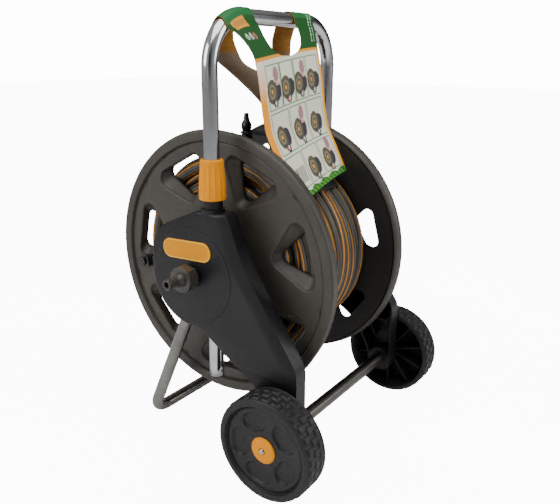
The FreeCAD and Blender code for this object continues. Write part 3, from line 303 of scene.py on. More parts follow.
def walled(piece: bpy.types.Object, wall_mm: float) -> bpy.types.Object:
    """Give a sheet its wall thickness, inwards from its faces, with a live modifier."""
    wall = piece.modifiers.new("wall", "SOLIDIFY")
    wall.thickness = wall_mm * MM
    wall.offset = -1.0
    return piece


def dress(piece: bpy.types.Object, body: Body, material: bpy.types.Material, slot: str,
          *nodes: str) -> bpy.types.Object:
    """Give a piece its finish and body, and let it stand for its CAD nodes."""
    piece.data.materials.append(material)
    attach(piece, body.value)
    if nodes:
        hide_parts(*nodes)
    LOG.info("%s rides on %s in %s", piece.name, body.value, material.name)
    return piece


def skin(node: str, body: Body, material: bpy.types.Material, slot: str,
         rounding_mm: float = 0.0) -> bpy.types.Object:
    """Replace a CAD node by its own welded copy, with its edges rounded."""
    piece = merged_copy(node)
    if rounding_mm:
        bevelled(piece, rounding_mm)
    return dress(piece, body, material, slot, node)


def paint_nodes(material: bpy.types.Material, *nodes: str) -> None:
    """Give CAD nodes that keep their own shape a finish, in their objects' slots."""
    for name in nodes:
        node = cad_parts[name]
        if not node.material_slots:
            node.data.materials.append(None)
        for place in node.material_slots:
            place.material = material
        LOG.info("%s keeps its shape, in %s", name, material.name)


# ------------------------------------------------------------------ finishes
def linear(hex_colour: str) -> tuple[float, float, float, float]:
    """Turn an sRGB hex value such as "3E3A35" into a linear colour."""
    parts = np.array([int(hex_colour[i:i + 2], 16) for i in (0, 2, 4)]) / 255.0
    parts = np.where(parts <= 0.04045, parts / 12.92, ((parts + 0.055) / 1.055) ** 2.4)
    return (float(parts[0]), float(parts[1]), float(parts[2]), 1.0)


def add(tree: bpy.types.NodeTree, kind: str, settings: Optional[dict] = None,
        inputs: Optional[dict] = None) -> bpy.types.Node:
    """Add a node with its settings, and set or link its inputs.

    Args:
        tree: the node tree.
        kind: the node's type name.
        settings: attribute values; "ramp" gives a colour ramp's (position, hex) stops.
        inputs: values or output sockets by input name or number.

    Returns:
        The node.
    """
    node = tree.nodes.new(kind)
    for key, value in (settings or {}).items():
        if key == "ramp":
            while len(node.color_ramp.elements) < len(value):
                node.color_ramp.elements.new(0.5)
            for stop, (position, colour) in zip(node.color_ramp.elements, value):
                stop.position = position
                stop.color = linear(colour)
        else:
            setattr(node, key, value)
    plug(tree, node, inputs or {})
    return node


def plug(tree: bpy.types.NodeTree, node: bpy.types.Node, inputs: dict) -> None:
    """Link a node's inputs to the sockets given for them, and set those given as values."""
    for key, value in inputs.items():
        if isinstance(value, bpy.types.NodeSocket):
            tree.links.new(value, node.inputs[key])
        else:
            node.inputs[key].default_value = value


def new_material(name: str) -> tuple[bpy.types.Material, bpy.types.NodeTree, bpy.types.Node]:
    """An empty material with a Principled surface; returns it, its tree and the shader."""
    material = bpy.data.materials.new(name)
    material.use_nodes = True
    tree = material.node_tree
    tree.nodes.clear()
    shader = add(tree, "ShaderNodeBsdfPrincipled")
    add(tree, "ShaderNodeOutputMaterial", inputs={"Surface": shader.outputs["BSDF"]})
    return material, tree, shader


@dataclass(frozen=True)
class MouldedPlastic:
    """An injection-moulded thermoplastic: mottled colour, fine tool grain, soft gloss.

    The eye sees an even colour that drifts a little over the piece, a soft broad highlight
    broken by the grain, and duller patches where hands and dust have been.
    """

    name: str
    base: str
    worn: str
    roughness: float
    roughness_swing: float = 0.08
    grain_mm: float = 1.6
    grain_depth: float = 0.10
    drift_mm: float = 60.0
    ior: float = 1.49
    specular: float = 0.5

    def material(self) -> bpy.types.Material:
        """Build the material on Object coordinates, so it stays put on moving pieces."""
        material, tree, shader = new_material(self.name)
        place = add(tree, "ShaderNodeTexCoord").outputs["Object"]
        drift = add(tree, "ShaderNodeTexNoise", inputs={
            "Vector": place, "Scale": 1000 / self.drift_mm, "Detail": 4.0})
        tint = add(tree, "ShaderNodeValToRGB", {"ramp": [(0.35, self.base), (0.72, self.worn)]},
                   {"Fac": drift.outputs["Fac"]})
        speck = add(tree, "ShaderNodeTexNoise", inputs={
            "Vector": place, "Scale": 1000 / (self.grain_mm * 2.5), "Detail": 2.0})
        gloss = add(tree, "ShaderNodeMapRange", inputs={
            "Value": speck.outputs["Fac"], "From Min": 0.3, "From Max": 0.7,
            "To Min": self.roughness - self.roughness_swing,
            "To Max": self.roughness + self.roughness_swing})
        # Real tool grain is about 0.1 mm; it is drawn coarser so that it shows at all.
        grain = add(tree, "ShaderNodeTexNoise", inputs={
            "Vector": place, "Scale": 1000 / self.grain_mm, "Detail": 3.0})
        bump = add(tree, "ShaderNodeBump", inputs={
            "Height": grain.outputs["Fac"], "Strength": self.grain_depth, "Distance": 0.0006})
        plug(tree, shader, {
            "Base Color": tint.outputs["Color"], "Roughness": gloss.outputs["Result"],
            "Normal": bump.outputs["Normal"], "IOR": self.ior,
            "Specular IOR Level": self.specular})
        return material


@dataclass(frozen=True)
class DrawnSteel:
    """Steel tube or rod: bright metal with faint marks along the drawing direction.

    The eye sees sharp light and dark bands down the tube, softened a little by hairline
    marks; the map of the tube runs in millimetres along it.
    """

    name: str
    base: str
    dull: str
    roughness: float
    hairline_mm: float = 1.2
    mapped: bool = True

    def material(self) -> bpy.types.Material:
        """Build the material on the tube's own map, or on Object coordinates."""
        material, tree, shader = new_material(self.name)
        source = add(tree, "ShaderNodeTexCoord")
        if self.mapped:
            # 1 mm along and a whole turn round: the marks come out long and thin.
            stretch = add(tree, "ShaderNodeMapping", inputs={
                "Vector": source.outputs["UV"], "Scale": (0.012, 60.0 / self.hairline_mm, 1.0)})
        else:
            stretch = add(tree, "ShaderNodeMapping", inputs={
                "Vector": source.outputs["Object"], "Scale": (60.0, 60.0, 900.0)})
        hair = add(tree, "ShaderNodeTexNoise", inputs={
            "Vector": stretch.outputs["Vector"], "Scale": 1.0, "Detail": 3.0})
        cloud = add(tree, "ShaderNodeTexNoise", inputs={
            "Vector": source.outputs["Object"], "Scale": 25.0, "Detail": 3.0})
        tint = add(tree, "ShaderNodeValToRGB", {"ramp": [(0.3, self.base), (0.75, self.dull)]},
                   {"Fac": cloud.outputs["Fac"]})
        gloss = add(tree, "ShaderNodeMapRange", inputs={
            "Value": hair.outputs["Fac"], "From Min": 0.25, "From Max": 0.75,
            "To Min": self.roughness * 0.7, "To Max": self.roughness * 1.4})
        bump = add(tree, "ShaderNodeBump", inputs={
            "Height": hair.outputs["Fac"], "Strength": 0.05, "Distance": 0.0003})
        plug(tree, shader, {
            "Base Color": tint.outputs["Color"], "Roughness": gloss.outputs["Result"],
            "Normal": bump.outputs["Normal"], "Metallic": 1.0})
        return material


@dataclass(frozen=True)
class StripedHose:
    """Extruded soft PVC hose with coloured lines along it under a clear skin.

    The eye sees a grey tube with one golden line and a thin black line beside it in each
    quarter of its turn, faint ribs of the yarn under the skin, and a dull wet-looking gloss.
    """

    name: str = "extruded_soft_pvc_hose"
    pairs: int = 4
    body: str = "4A4640"
    line: str = "C8821C"
    dark: str = "1E1C1A"

    def material(self) -> bpy.types.Material:
        """Build the material on the hose's map: metres along, turns round."""
        material, tree, shader = new_material(self.name)
        source = add(tree, "ShaderNodeTexCoord")
        split = add(tree, "ShaderNodeSeparateXYZ", inputs={"Vector": source.outputs["UV"]})
        turns = add(tree, "ShaderNodeMath", {"operation": "MULTIPLY"},
                    {0: split.outputs["Y"], 1: float(self.pairs)})
        phase = add(tree, "ShaderNodeMath", {"operation": "FRACT"}, {0: turns.outputs[0]})
        stops = [(0.0, self.dark), (0.10, self.dark), (0.13, self.body), (0.40, self.body),
                 (0.425, self.line), (0.58, self.line), (0.605, self.dark), (0.70, self.dark),
                 (0.73, self.body), (0.90, self.body), (0.93, self.dark)]
        colour = add(tree, "ShaderNodeValToRGB", {"ramp": stops}, {"Fac": phase.outputs[0]})
        shade = add(tree, "ShaderNodeTexNoise", inputs={
            "Vector": source.outputs["Object"], "Scale": 28.0, "Detail": 3.0})
        mixed = add(tree, "ShaderNodeMix", {"data_type": "RGBA", "blend_type": "MULTIPLY"},
                    {0: 0.55, 6: colour.outputs["Color"], 7: shade.outputs["Color"]})
        lift = add(tree, "ShaderNodeHueSaturation", inputs={
            "Value": 1.35, "Color": mixed.outputs[2]})
        # The yarn's ribs are 1.5 mm apart round the hose.
        ribs = add(tree, "ShaderNodeMath", {"operation": "MULTIPLY"},
                   {0: split.outputs["Y"], 1: 36.0 * 2 * math.pi})
        wave = add(tree, "ShaderNodeMath", {"operation": "SINE"}, {0: ribs.outputs[0]})
        bump = add(tree, "ShaderNodeBump", inputs={
            "Height": wave.outputs[0], "Strength": 0.12, "Distance": 0.0004})
        gloss = add(tree, "ShaderNodeMapRange", inputs={
            "Value": shade.outputs["Fac"], "To Min": 0.34, "To Max": 0.52})
        plug(tree, shader, {
            "Base Color": lift.outputs["Color"], "Roughness": gloss.outputs["Result"],
            "Normal": bump.outputs["Normal"], "IOR": 1.53})
        return material


@dataclass(frozen=True)
class PrintedCard:
    """Folding boxboard printed in offset colours: the eye sees flat inks with a thin varnish
    sheen outside, and the bare fibres' warm grey inside."""

    name: str = "offset_printed_boxboard"

    def material(self) -> bpy.types.Material:
        """Build the printed face, which takes its inks from the piece's print layer."""
        material, tree, shader = new_material(self.name)
        ink = add(tree, "ShaderNodeVertexColor", {"layer_name": "print"})
        place = add(tree, "ShaderNodeTexCoord").outputs["Object"]
        # Board fibres are about 0.5 mm long; they are drawn at 2 mm so that they show.
        fibre = add(tree, "ShaderNodeTexNoise", inputs={
            "Vector": place, "Scale": 500.0, "Detail": 3.0})
        mixed = add(tree, "ShaderNodeMix", {"data_type": "RGBA", "blend_type": "SOFT_LIGHT"},
                    {0: 0.12, 6: ink.outputs["Color"], 7: fibre.outputs["Color"]})
        bump = add(tree, "ShaderNodeBump", inputs={
            "Height": fibre.outputs["Fac"], "Strength": 0.06, "Distance": 0.0003})
        plug(tree, shader, {
            "Base Color": mixed.outputs[2], "Normal": bump.outputs["Normal"],
            "Roughness": 0.5, "Specular IOR Level": 0.25})
        return material


@dataclass(frozen=True)
class BareBoard:
    """Unprinted back of boxboard: warm grey fibres, tinted golden brown on the straps.

    The eye sees a dull brown sheet that turns golden towards the grip bar.
    """

    name: str = "bare_boxboard_inside"

    def material(self) -> bpy.types.Material:
        """Build the material on Object coordinates, with its tint set by height."""
        material, tree, shader = new_material(self.name)
        place = add(tree, "ShaderNodeTexCoord").outputs["Object"]
        height = add(tree, "ShaderNodeSeparateXYZ", inputs={"Vector": place})
        share = add(tree, "ShaderNodeMapRange", inputs={
            "Value": height.outputs["Z"], "From Min": 0.590, "From Max": 0.598})
        # Board fibres are about 0.5 mm long; they are drawn at 2 mm so that they show.
        fibre = add(tree, "ShaderNodeTexNoise", inputs={
            "Vector": place, "Scale": 500.0, "Detail": 4.0})
        plain = add(tree, "ShaderNodeValToRGB", {"ramp": [(0.3, "85735F"), (0.7, "9A8672")]},
                    {"Fac": fibre.outputs["Fac"]})
        gold = add(tree, "ShaderNodeValToRGB", {"ramp": [(0.3, "9A640C"), (0.7, "B27A18")]},
                   {"Fac": fibre.outputs["Fac"]})
        mixed = add(tree, "ShaderNodeMix", {"data_type": "RGBA"}, {
            0: share.outputs["Result"], 6: plain.outputs["Color"], 7: gold.outputs["Color"]})
        bump = add(tree, "ShaderNodeBump", inputs={
            "Height": fibre.outputs["Fac"], "Strength": 0.10, "Distance": 0.0004})
        plug(tree, shader, {
            "Base Color": mixed.outputs[2], "Normal": bump.outputs["Normal"], "Roughness": 0.8})
        return material


@dataclass(frozen=True)
class BadgePlate:
    """Moulded ABS plate: a deep golden field inside a lighter raised border, with painted shade at
    its inner foot.
    """

    name: str = "moulded_abs_badge"

    def material(self) -> bpy.types.Material:
        """Build the material on the plate's map, whose X is the distance from its edge."""
        material, tree, shader = new_material(self.name)
        source = add(tree, "ShaderNodeTexCoord")
        split = add(tree, "ShaderNodeSeparateXYZ", inputs={"Vector": source.outputs["UV"]})
        scaled = add(tree, "ShaderNodeMath", {"operation": "MULTIPLY"},
                     {0: split.outputs["X"], 1: 0.1})
        # By inset: the edge, the border's lighter top, a dark stop at 2.7 mm that is painted shade
        # where the border drops to the field, then the field.
        colour = add(tree, "ShaderNodeValToRGB", {
            "ramp": [(0.0, "E59A00"), (0.15, "FFC038"), (0.22, "FFC038"), (0.27, "A86C00"),
                     (0.32, "E09000"), (1.0, "E09000")]}, {"Fac": scaled.outputs[0]})
        grain = add(tree, "ShaderNodeTexNoise", inputs={
            "Vector": source.outputs["Object"], "Scale": 700.0, "Detail": 2.0})
        bump = add(tree, "ShaderNodeBump", inputs={
            "Height": grain.outputs["Fac"], "Strength": 0.06, "Distance": 0.0004})
        plug(tree, shader, {
            "Base Color": colour.outputs["Color"], "Normal": bump.outputs["Normal"],
            "Roughness": 0.38, "Specular IOR Level": 0.15})
        return material


@dataclass
class Finishes:
    """Every finish of the cart, made once."""

    def __post_init__(self) -> None:
        """Build the materials."""
        self.frame = MouldedPlastic("moulded_polypropylene_black", "0E0D10", "161519", 0.40,
                                    grain_mm=2.0, specular=0.34).material()
        self.drum = MouldedPlastic("moulded_polypropylene_warm_grey", "38342E", "403C35", 0.50,
                                   grain_mm=2.2).material()
        # The core halves' near-black colour is painted shade: it stands in for the shade inside the
        # drum, seen through the windows.
        self.cheek = MouldedPlastic("moulded_polypropylene_core_painted_shade", "121110", "1A1817",
                                    0.58).material()
        self.wheel = MouldedPlastic("blow_moulded_hdpe_charcoal", "151515", "1F1E1E", 0.52,
                                    grain_mm=1.8, grain_depth=0.16, specular=0.4).material()
        self.yellow = MouldedPlastic("moulded_abs_yellow", "EC9200", "F09600", 0.42,
                                     roughness_swing=0.05, grain_depth=0.05,
                                     specular=0.12).material()
        self.inlet = MouldedPlastic("moulded_acetal_grey", "35332F", "403D38", 0.34,
                                    grain_depth=0.06).material()
        self.clip = MouldedPlastic("moulded_acetal_black", "151515", "202020", 0.30,
                                   grain_depth=0.05).material()
        self.rubber = MouldedPlastic("moulded_nitrile_rubber", "0F0F0F", "1A1918", 0.66,
                                     grain_mm=1.0).material()
        self.steel = DrawnSteel("bright_chromed_steel_tube", "D2D3D6", "B9BABD", 0.13).material()
        self.stand = DrawnSteel("bright_zinc_plated_steel_tube", "8E8D89", "74726E",
                                0.26).material()
        self.axle = DrawnSteel("lacquered_steel_tube", "6A6863", "56544F", 0.30).material()
        self.zinc = DrawnSteel("zinc_plated_steel_rod", "C3C3BF", "9A9994", 0.22,
                               mapped=False).material()
        self.hose = StripedHose().material()
        self.card = PrintedCard().material()
        self.bare_card = BareBoard().material()
        self.badge = BadgePlate().material()


# ------------------------------------------------------------------ the studio
@dataclass(frozen=True)
class Studio:
    """Camera, pale floor, soft lights and the white surround."""

    place: tuple[float, float, float] = (-0.8177, -0.5903, 0.5917)
    azimuth_deg: float = -54.8
    elevation_deg: float = 17.3
    roll_deg: float = 0.4075
    lens_mm: float = 40.8

    def camera(self) -> None:
        """Stand the camera: it looks back along its third axis, rolled a little."""
        a, e, r = (math.radians(v) for v in (self.azimuth_deg, self.elevation_deg, self.roll_deg))
        back = Vector((math.sin(a) * math.cos(e), -math.cos(a) * math.cos(e), math.sin(e)))
        right = Vector((math.cos(a), math.sin(a), 0))
        up = back.cross(right)
        rolled = right * math.cos(r) + up * math.sin(r)
        upright = up * math.cos(r) - right * math.sin(r)
        data = bpy.data.cameras.new("camera")
        data.lens = self.lens_mm
        data.sensor_width = 36.0
        data.clip_start = 0.01
        camera = bpy.data.objects.new("camera", data)
        camera.matrix_world = Matrix.LocRotScale(
            Vector(self.place), Matrix((rolled, upright, back)).transposed().to_quaternion(), None)
        bpy.context.scene.collection.objects.link(camera)
        bpy.context.scene.camera = camera

    def floor(self) -> None:
        """Lay a pale matt floor, far wider than the view."""
        mesh = bpy.data.meshes.new("floor")
        reach = 12.0
        mesh.from_pydata([(-reach, -reach, 0), (reach, -reach, 0), (reach, reach, 0),
                          (-reach, reach, 0)], [], [(0, 1, 2, 3)])
        floor = bpy.data.objects.new("floor", mesh)
        bpy.context.scene.collection.objects.link(floor)
        material, tree, shader = new_material("painted_studio_floor")
        place = add(tree, "ShaderNodeTexCoord").outputs["Object"]
        cloud = add(tree, "ShaderNodeTexNoise", inputs={"Vector": place, "Scale": 2.0})
        tint = add(tree, "ShaderNodeValToRGB", {"ramp": [(0.3, "F4F4F4"), (0.7, "F7F7F7")]},
                   {"Fac": cloud.outputs["Fac"]})
        # Lit from below for the eye alone, as a translucent studio table is.
        seen = add(tree, "ShaderNodeLightPath").outputs["Is Camera Ray"]
        glow = add(tree, "ShaderNodeMath", {"operation": "MULTIPLY"}, {0: seen, 1: 12.0})
        plug(tree, shader, {
            "Base Color": tint.outputs["Color"], "Roughness": 0.85,
            "Emission Color": tint.outputs["Color"], "Emission Strength": glow.outputs[0]})
        mesh.materials.append(material)

    def surround(self) -> None:
        """White to the eye; to surfaces, a ring of soft boxes and dark gaps between them."""
        world = bpy.data.worlds.new("studio")
        world.use_nodes = True
        tree = world.node_tree
        tree.nodes.clear()
        way = add(tree, "ShaderNodeTexCoord").outputs["Generated"]
        split = add(tree, "ShaderNodeSeparateXYZ", inputs={"Vector": way})
        bearing = add(tree, "ShaderNodeMath", {"operation": "ARCTAN2"},
                      {0: split.outputs["Y"], 1: split.outputs["X"]})
        share = add(tree, "ShaderNodeMapRange", inputs={
            "Value": bearing.outputs[0], "From Min": -math.pi, "From Max": math.pi})
        # Bearings run from -X through -Y, +X and +Y back to -X; the camera stands at 0.10.
        ring = add(tree, "ShaderNodeValToRGB", {"ramp": [
            (0.0, "F4F4F4"), (0.055, "FFFFFF"), (0.085, "4A4A4A"), (0.135, "3C3C3C"),
            (0.175, "B5B5B5"), (0.27, "FFFFFF"), (0.36, "FFFFFF"), (0.42, "585858"),
            (0.52, "333333"), (0.62, "4C4C4C"), (0.70, "C9C9C9"), (0.80, "FFFFFF"),
            (0.93, "FFFFFF"), (0.965, "6A6A6A"), (1.0, "F4F4F4")]},
            {"Fac": share.outputs["Result"]})
        above = add(tree, "ShaderNodeMapRange", inputs={
            "Value": split.outputs["Z"], "From Min": 0.35, "From Max": 0.8})
        lit = add(tree, "ShaderNodeMix", {"data_type": "RGBA"},
                  {0: above.outputs["Result"], 6: ring.outputs["Color"], 7: (0.95, 0.95, 0.95, 1)})
        glow = add(tree, "ShaderNodeBackground", inputs={"Color": lit.outputs[2], "Strength": 0.44})
        white = add(tree, "ShaderNodeBackground", inputs={"Color": (1, 1, 1, 1), "Strength": 14.0})
        seen = add(tree, "ShaderNodeLightPath").outputs["Is Camera Ray"]
        both = add(tree, "ShaderNodeMixShader", inputs={
            0: seen, 1: glow.outputs[0], 2: white.outputs[0]})
        add(tree, "ShaderNodeOutputWorld", inputs={"Surface": both.outputs[0]})
        bpy.context.scene.world = world

    def lamp(self, name: str, place: tuple[float, float, float], aim: tuple[float, float, float],
             size: float, watts: float) -> None:
        """Hang one soft box that faces a point."""
        data = bpy.data.lights.new(name, "AREA")
        data.size = size
        data.energy = watts
        lamp = bpy.data.objects.new(name, data)
        lamp.location = place
        lamp.rotation_euler = (Vector(aim) - Vector(place)).to_track_quat("-Z", "Y").to_euler()
        bpy.context.scene.collection.objects.link(lamp)

    def build(self) -> None:
        """Set the whole studio."""
        self.camera()
        self.floor()
        self.surround()
        self.lamp("top_box", (-0.3, -0.4, 2.2), (0, 0, 0.3), 1.8, 34.0)
        self.lamp("left_box", (-1.8, 0.8, 1.3), (0, 0, 0.3), 1.2, 26.0)
        self.lamp("right_box", (1.2, -1.9, 1.2), (0, 0, 0.3), 1.2, 20.0)
        LOG.info("studio set")


# ------------------------------------------------------------------ the wound hose
@dataclass
class WoundHose:
    """The hose on the drum with its end connector and the tie across its turns."""

    diameter: float = 17.5
    core_r: float = 80.0
    layer_step: float = 17.72
    layers: int = 4
    turn_pitch: float = 17.55
    last_x: float = 79.0
    exit_x: float = -60.0
    end_deg: float = -38.0
    end_x: float = -59.9
    end_r: float = 160.76
    connector_half: float = 16.0
    points_per_turn: int = 18
    strap_deg: float = 132.0
    strap_width: float = 14.0
    coil_r: float = 150.66
    climb_turns: float = 0.55
    sides: int = 20

    def route(self) -> np.ndarray:
        """Control points of the hose, one smooth winding from the core to the free end.

        The direction falls steadily with the distance wound. Through the knots below, the
        place along the axle and the radius run straight in each layer, and rise to the next
        layer over a short part of a turn beside a cheek.

        Returns:
            Array (count, 3) in cart millimetres.
        """
        first = self.core_r + self.diameter / 2
        radii = first + self.layer_step * np.arange(self.layers + 1)
        radii[-1] = self.coil_r + self.diameter / 2 - 1.2
        knots = [(0.0, self.exit_x, self.core_r), (0.07, self.exit_x, first)]
        turns = 0.07
        x = self.exit_x
        for layer in range(self.layers):
            goal = self.last_x if layer % 2 == 0 else -self.last_x
            turns += abs(goal - x) / self.turn_pitch
            knots.append((turns, goal, radii[layer]))
            turns += self.climb_turns
            knots.append((turns, goal, radii[layer + 1]))
            x = goal
        last = (90.0 - self.end_deg) / 360.0
        end_turns = math.ceil(turns + 0.75 - last) + last - self.lead() / 360.0
        knots.append((end_turns - 0.30, x, radii[-1]))
        knots.append((end_turns - 0.06, self.end_x, self.end_r + 0.6))
        knots.append((end_turns, self.end_x, self.end_r + 0.8))
        table = np.array(knots)
        count = int(end_turns * self.points_per_turn)
        wound = np.linspace(0, end_turns, count + 1)
        x = np.interp(wound, table[:, 0], table[:, 1])
        radius = np.interp(wound, table[:, 0], table[:, 2])
        # The cage of a quadratic spline lies outside its curve by 1 / cos(half a step).
        radius = radius / np.cos(np.pi / self.points_per_turn) ** 0.66
        radius[0] = self.core_r
        angle = np.pi / 2 - 2 * np.pi * wound
        LOG.info("hose winds %.1f turns over %d layers", end_turns, self.layers)
        return np.stack([x, radius * np.cos(angle), AXLE_Z + radius * np.sin(angle)], -1)

    def lead(self) -> float:
        """Degrees of the coil that the connector's rear half takes."""
        return math.degrees(math.atan2(self.connector_half - 6.0, self.end_r))

    def centre_line(self, cage: np.ndarray) -> np.ndarray:
        """Points of the NURBS spline through its cage, in metres."""
        curve = bpy.data.curves.new("hose_line", "CURVE")
        curve.dimensions = "3D"
        spline = curve.splines.new("NURBS")
        spline.points.add(len(cage) - 1)
        spline.points.foreach_set("co", np.c_[placed(cage), np.ones(len(cage))].ravel())
        spline.order_u = 3
        spline.use_endpoint_u = True
        spline.resolution_u = 4
        helper = bpy.data.objects.new("hose_line", curve)
        mesh = bpy.data.meshes.new_from_object(helper)
        line = np.zeros(len(mesh.vertices) * 3)
        mesh.vertices.foreach_get("co", line)
        bpy.data.objects.remove(helper)
        bpy.data.curves.remove(curve)
        bpy.data.meshes.remove(mesh)
        return line.reshape(-1, 3)

    def hose(self, finishes: Finishes) -> None:
        """Carry the hose's round section along its line.

        Each ring is c + r (o cos a + b sin a), where o points away from the axle, b is square
        to it and to the line, and a slow twist of one turn in 4 m is added to the map.
        """
        line = self.centre_line(self.route())
        millimetres = (line - ORIGIN) / MM
        along = np.gradient(millimetres, axis=0)
        along /= np.linalg.norm(along, axis=1, keepdims=True)
        outward = (millimetres - [0, 0, AXLE_Z]) * [0, 1, 1]
        outward -= along * np.sum(outward * along, axis=1, keepdims=True)
        outward /= np.linalg.norm(outward, axis=1, keepdims=True)
        beside = np.cross(along, outward)
        run = np.concatenate([[0], np.cumsum(np.linalg.norm(np.diff(line, axis=0), axis=1))])
        turn = np.linspace(0, 2 * np.pi, self.sides + 1)
        ring = (outward[:, None] * np.cos(turn)[None, :, None]
                + beside[:, None] * np.sin(turn)[None, :, None])
        points = millimetres[:, None] + ring * (self.diameter / 2 - 0.05)
        twist = 0.38 * np.sin(run * 1.9) + 0.25 * np.sin(run * 0.73 + 1.0) + 0.12 * run
        uv = np.stack(np.broadcast_arrays(run[:, None],
                                          turn[None, :] / (2 * np.pi) + twist[:, None]), -1)
        caps = [grid(np.stack([np.repeat(millimetres[[i]], len(turn), 0), points[i]]),
                     np.stack([uv[i], uv[i]])) for i in (0, -1)]
        piece = build("hose_winding", [grid(points, uv), *caps])
        dress(piece, Body.DRUM, finishes.hose, "hose_pvc", "hose_coil")
        connector = self.connector(finishes)
        LOG.info("hose measures %.2f m", run[-1])

    def connector(self, finishes: Finishes) -> bpy.types.Object:
        """The quick connector on the free end, from its CAD shape."""
        return skin("hose_end_connector", Body.DRUM, finishes.clip, "inlet_plastic", 0.5)

    def strap(self, finishes: Finishes) -> None:
        """The tie: a ribbon that dips a little between the turns and tucks down at its ends."""
        half = self.last_x - 11.0
        across = np.linspace(-half, half, 240)
        dip = 0.5 * (1 - np.abs(np.cos(np.pi * across / self.turn_pitch)))
        tuck = 7.0 * smooth_step(np.abs(across), half - 6.0, half)
        radius = self.coil_r + 1.9 - dip - tuck
        width = np.linspace(-self.strap_width / 2, self.strap_width / 2, 7)
        crown = 0.25 * np.cos(np.pi * width / self.strap_width)
        out, side = spoke(math.radians(self.strap_deg))
        points = (across[:, None, None] * np.array([1, 0, 0])
                  + (radius[:, None] + crown)[..., None] * out
                  + width[None, :, None] * side + np.array([0, 0, AXLE_Z]))
        piece = build("hose_tie", [grid(points)], closed=False)
        walled(piece, 1.2)
        dress(piece, Body.DRUM, finishes.rubber, "seal_rubber", "hose_strap")


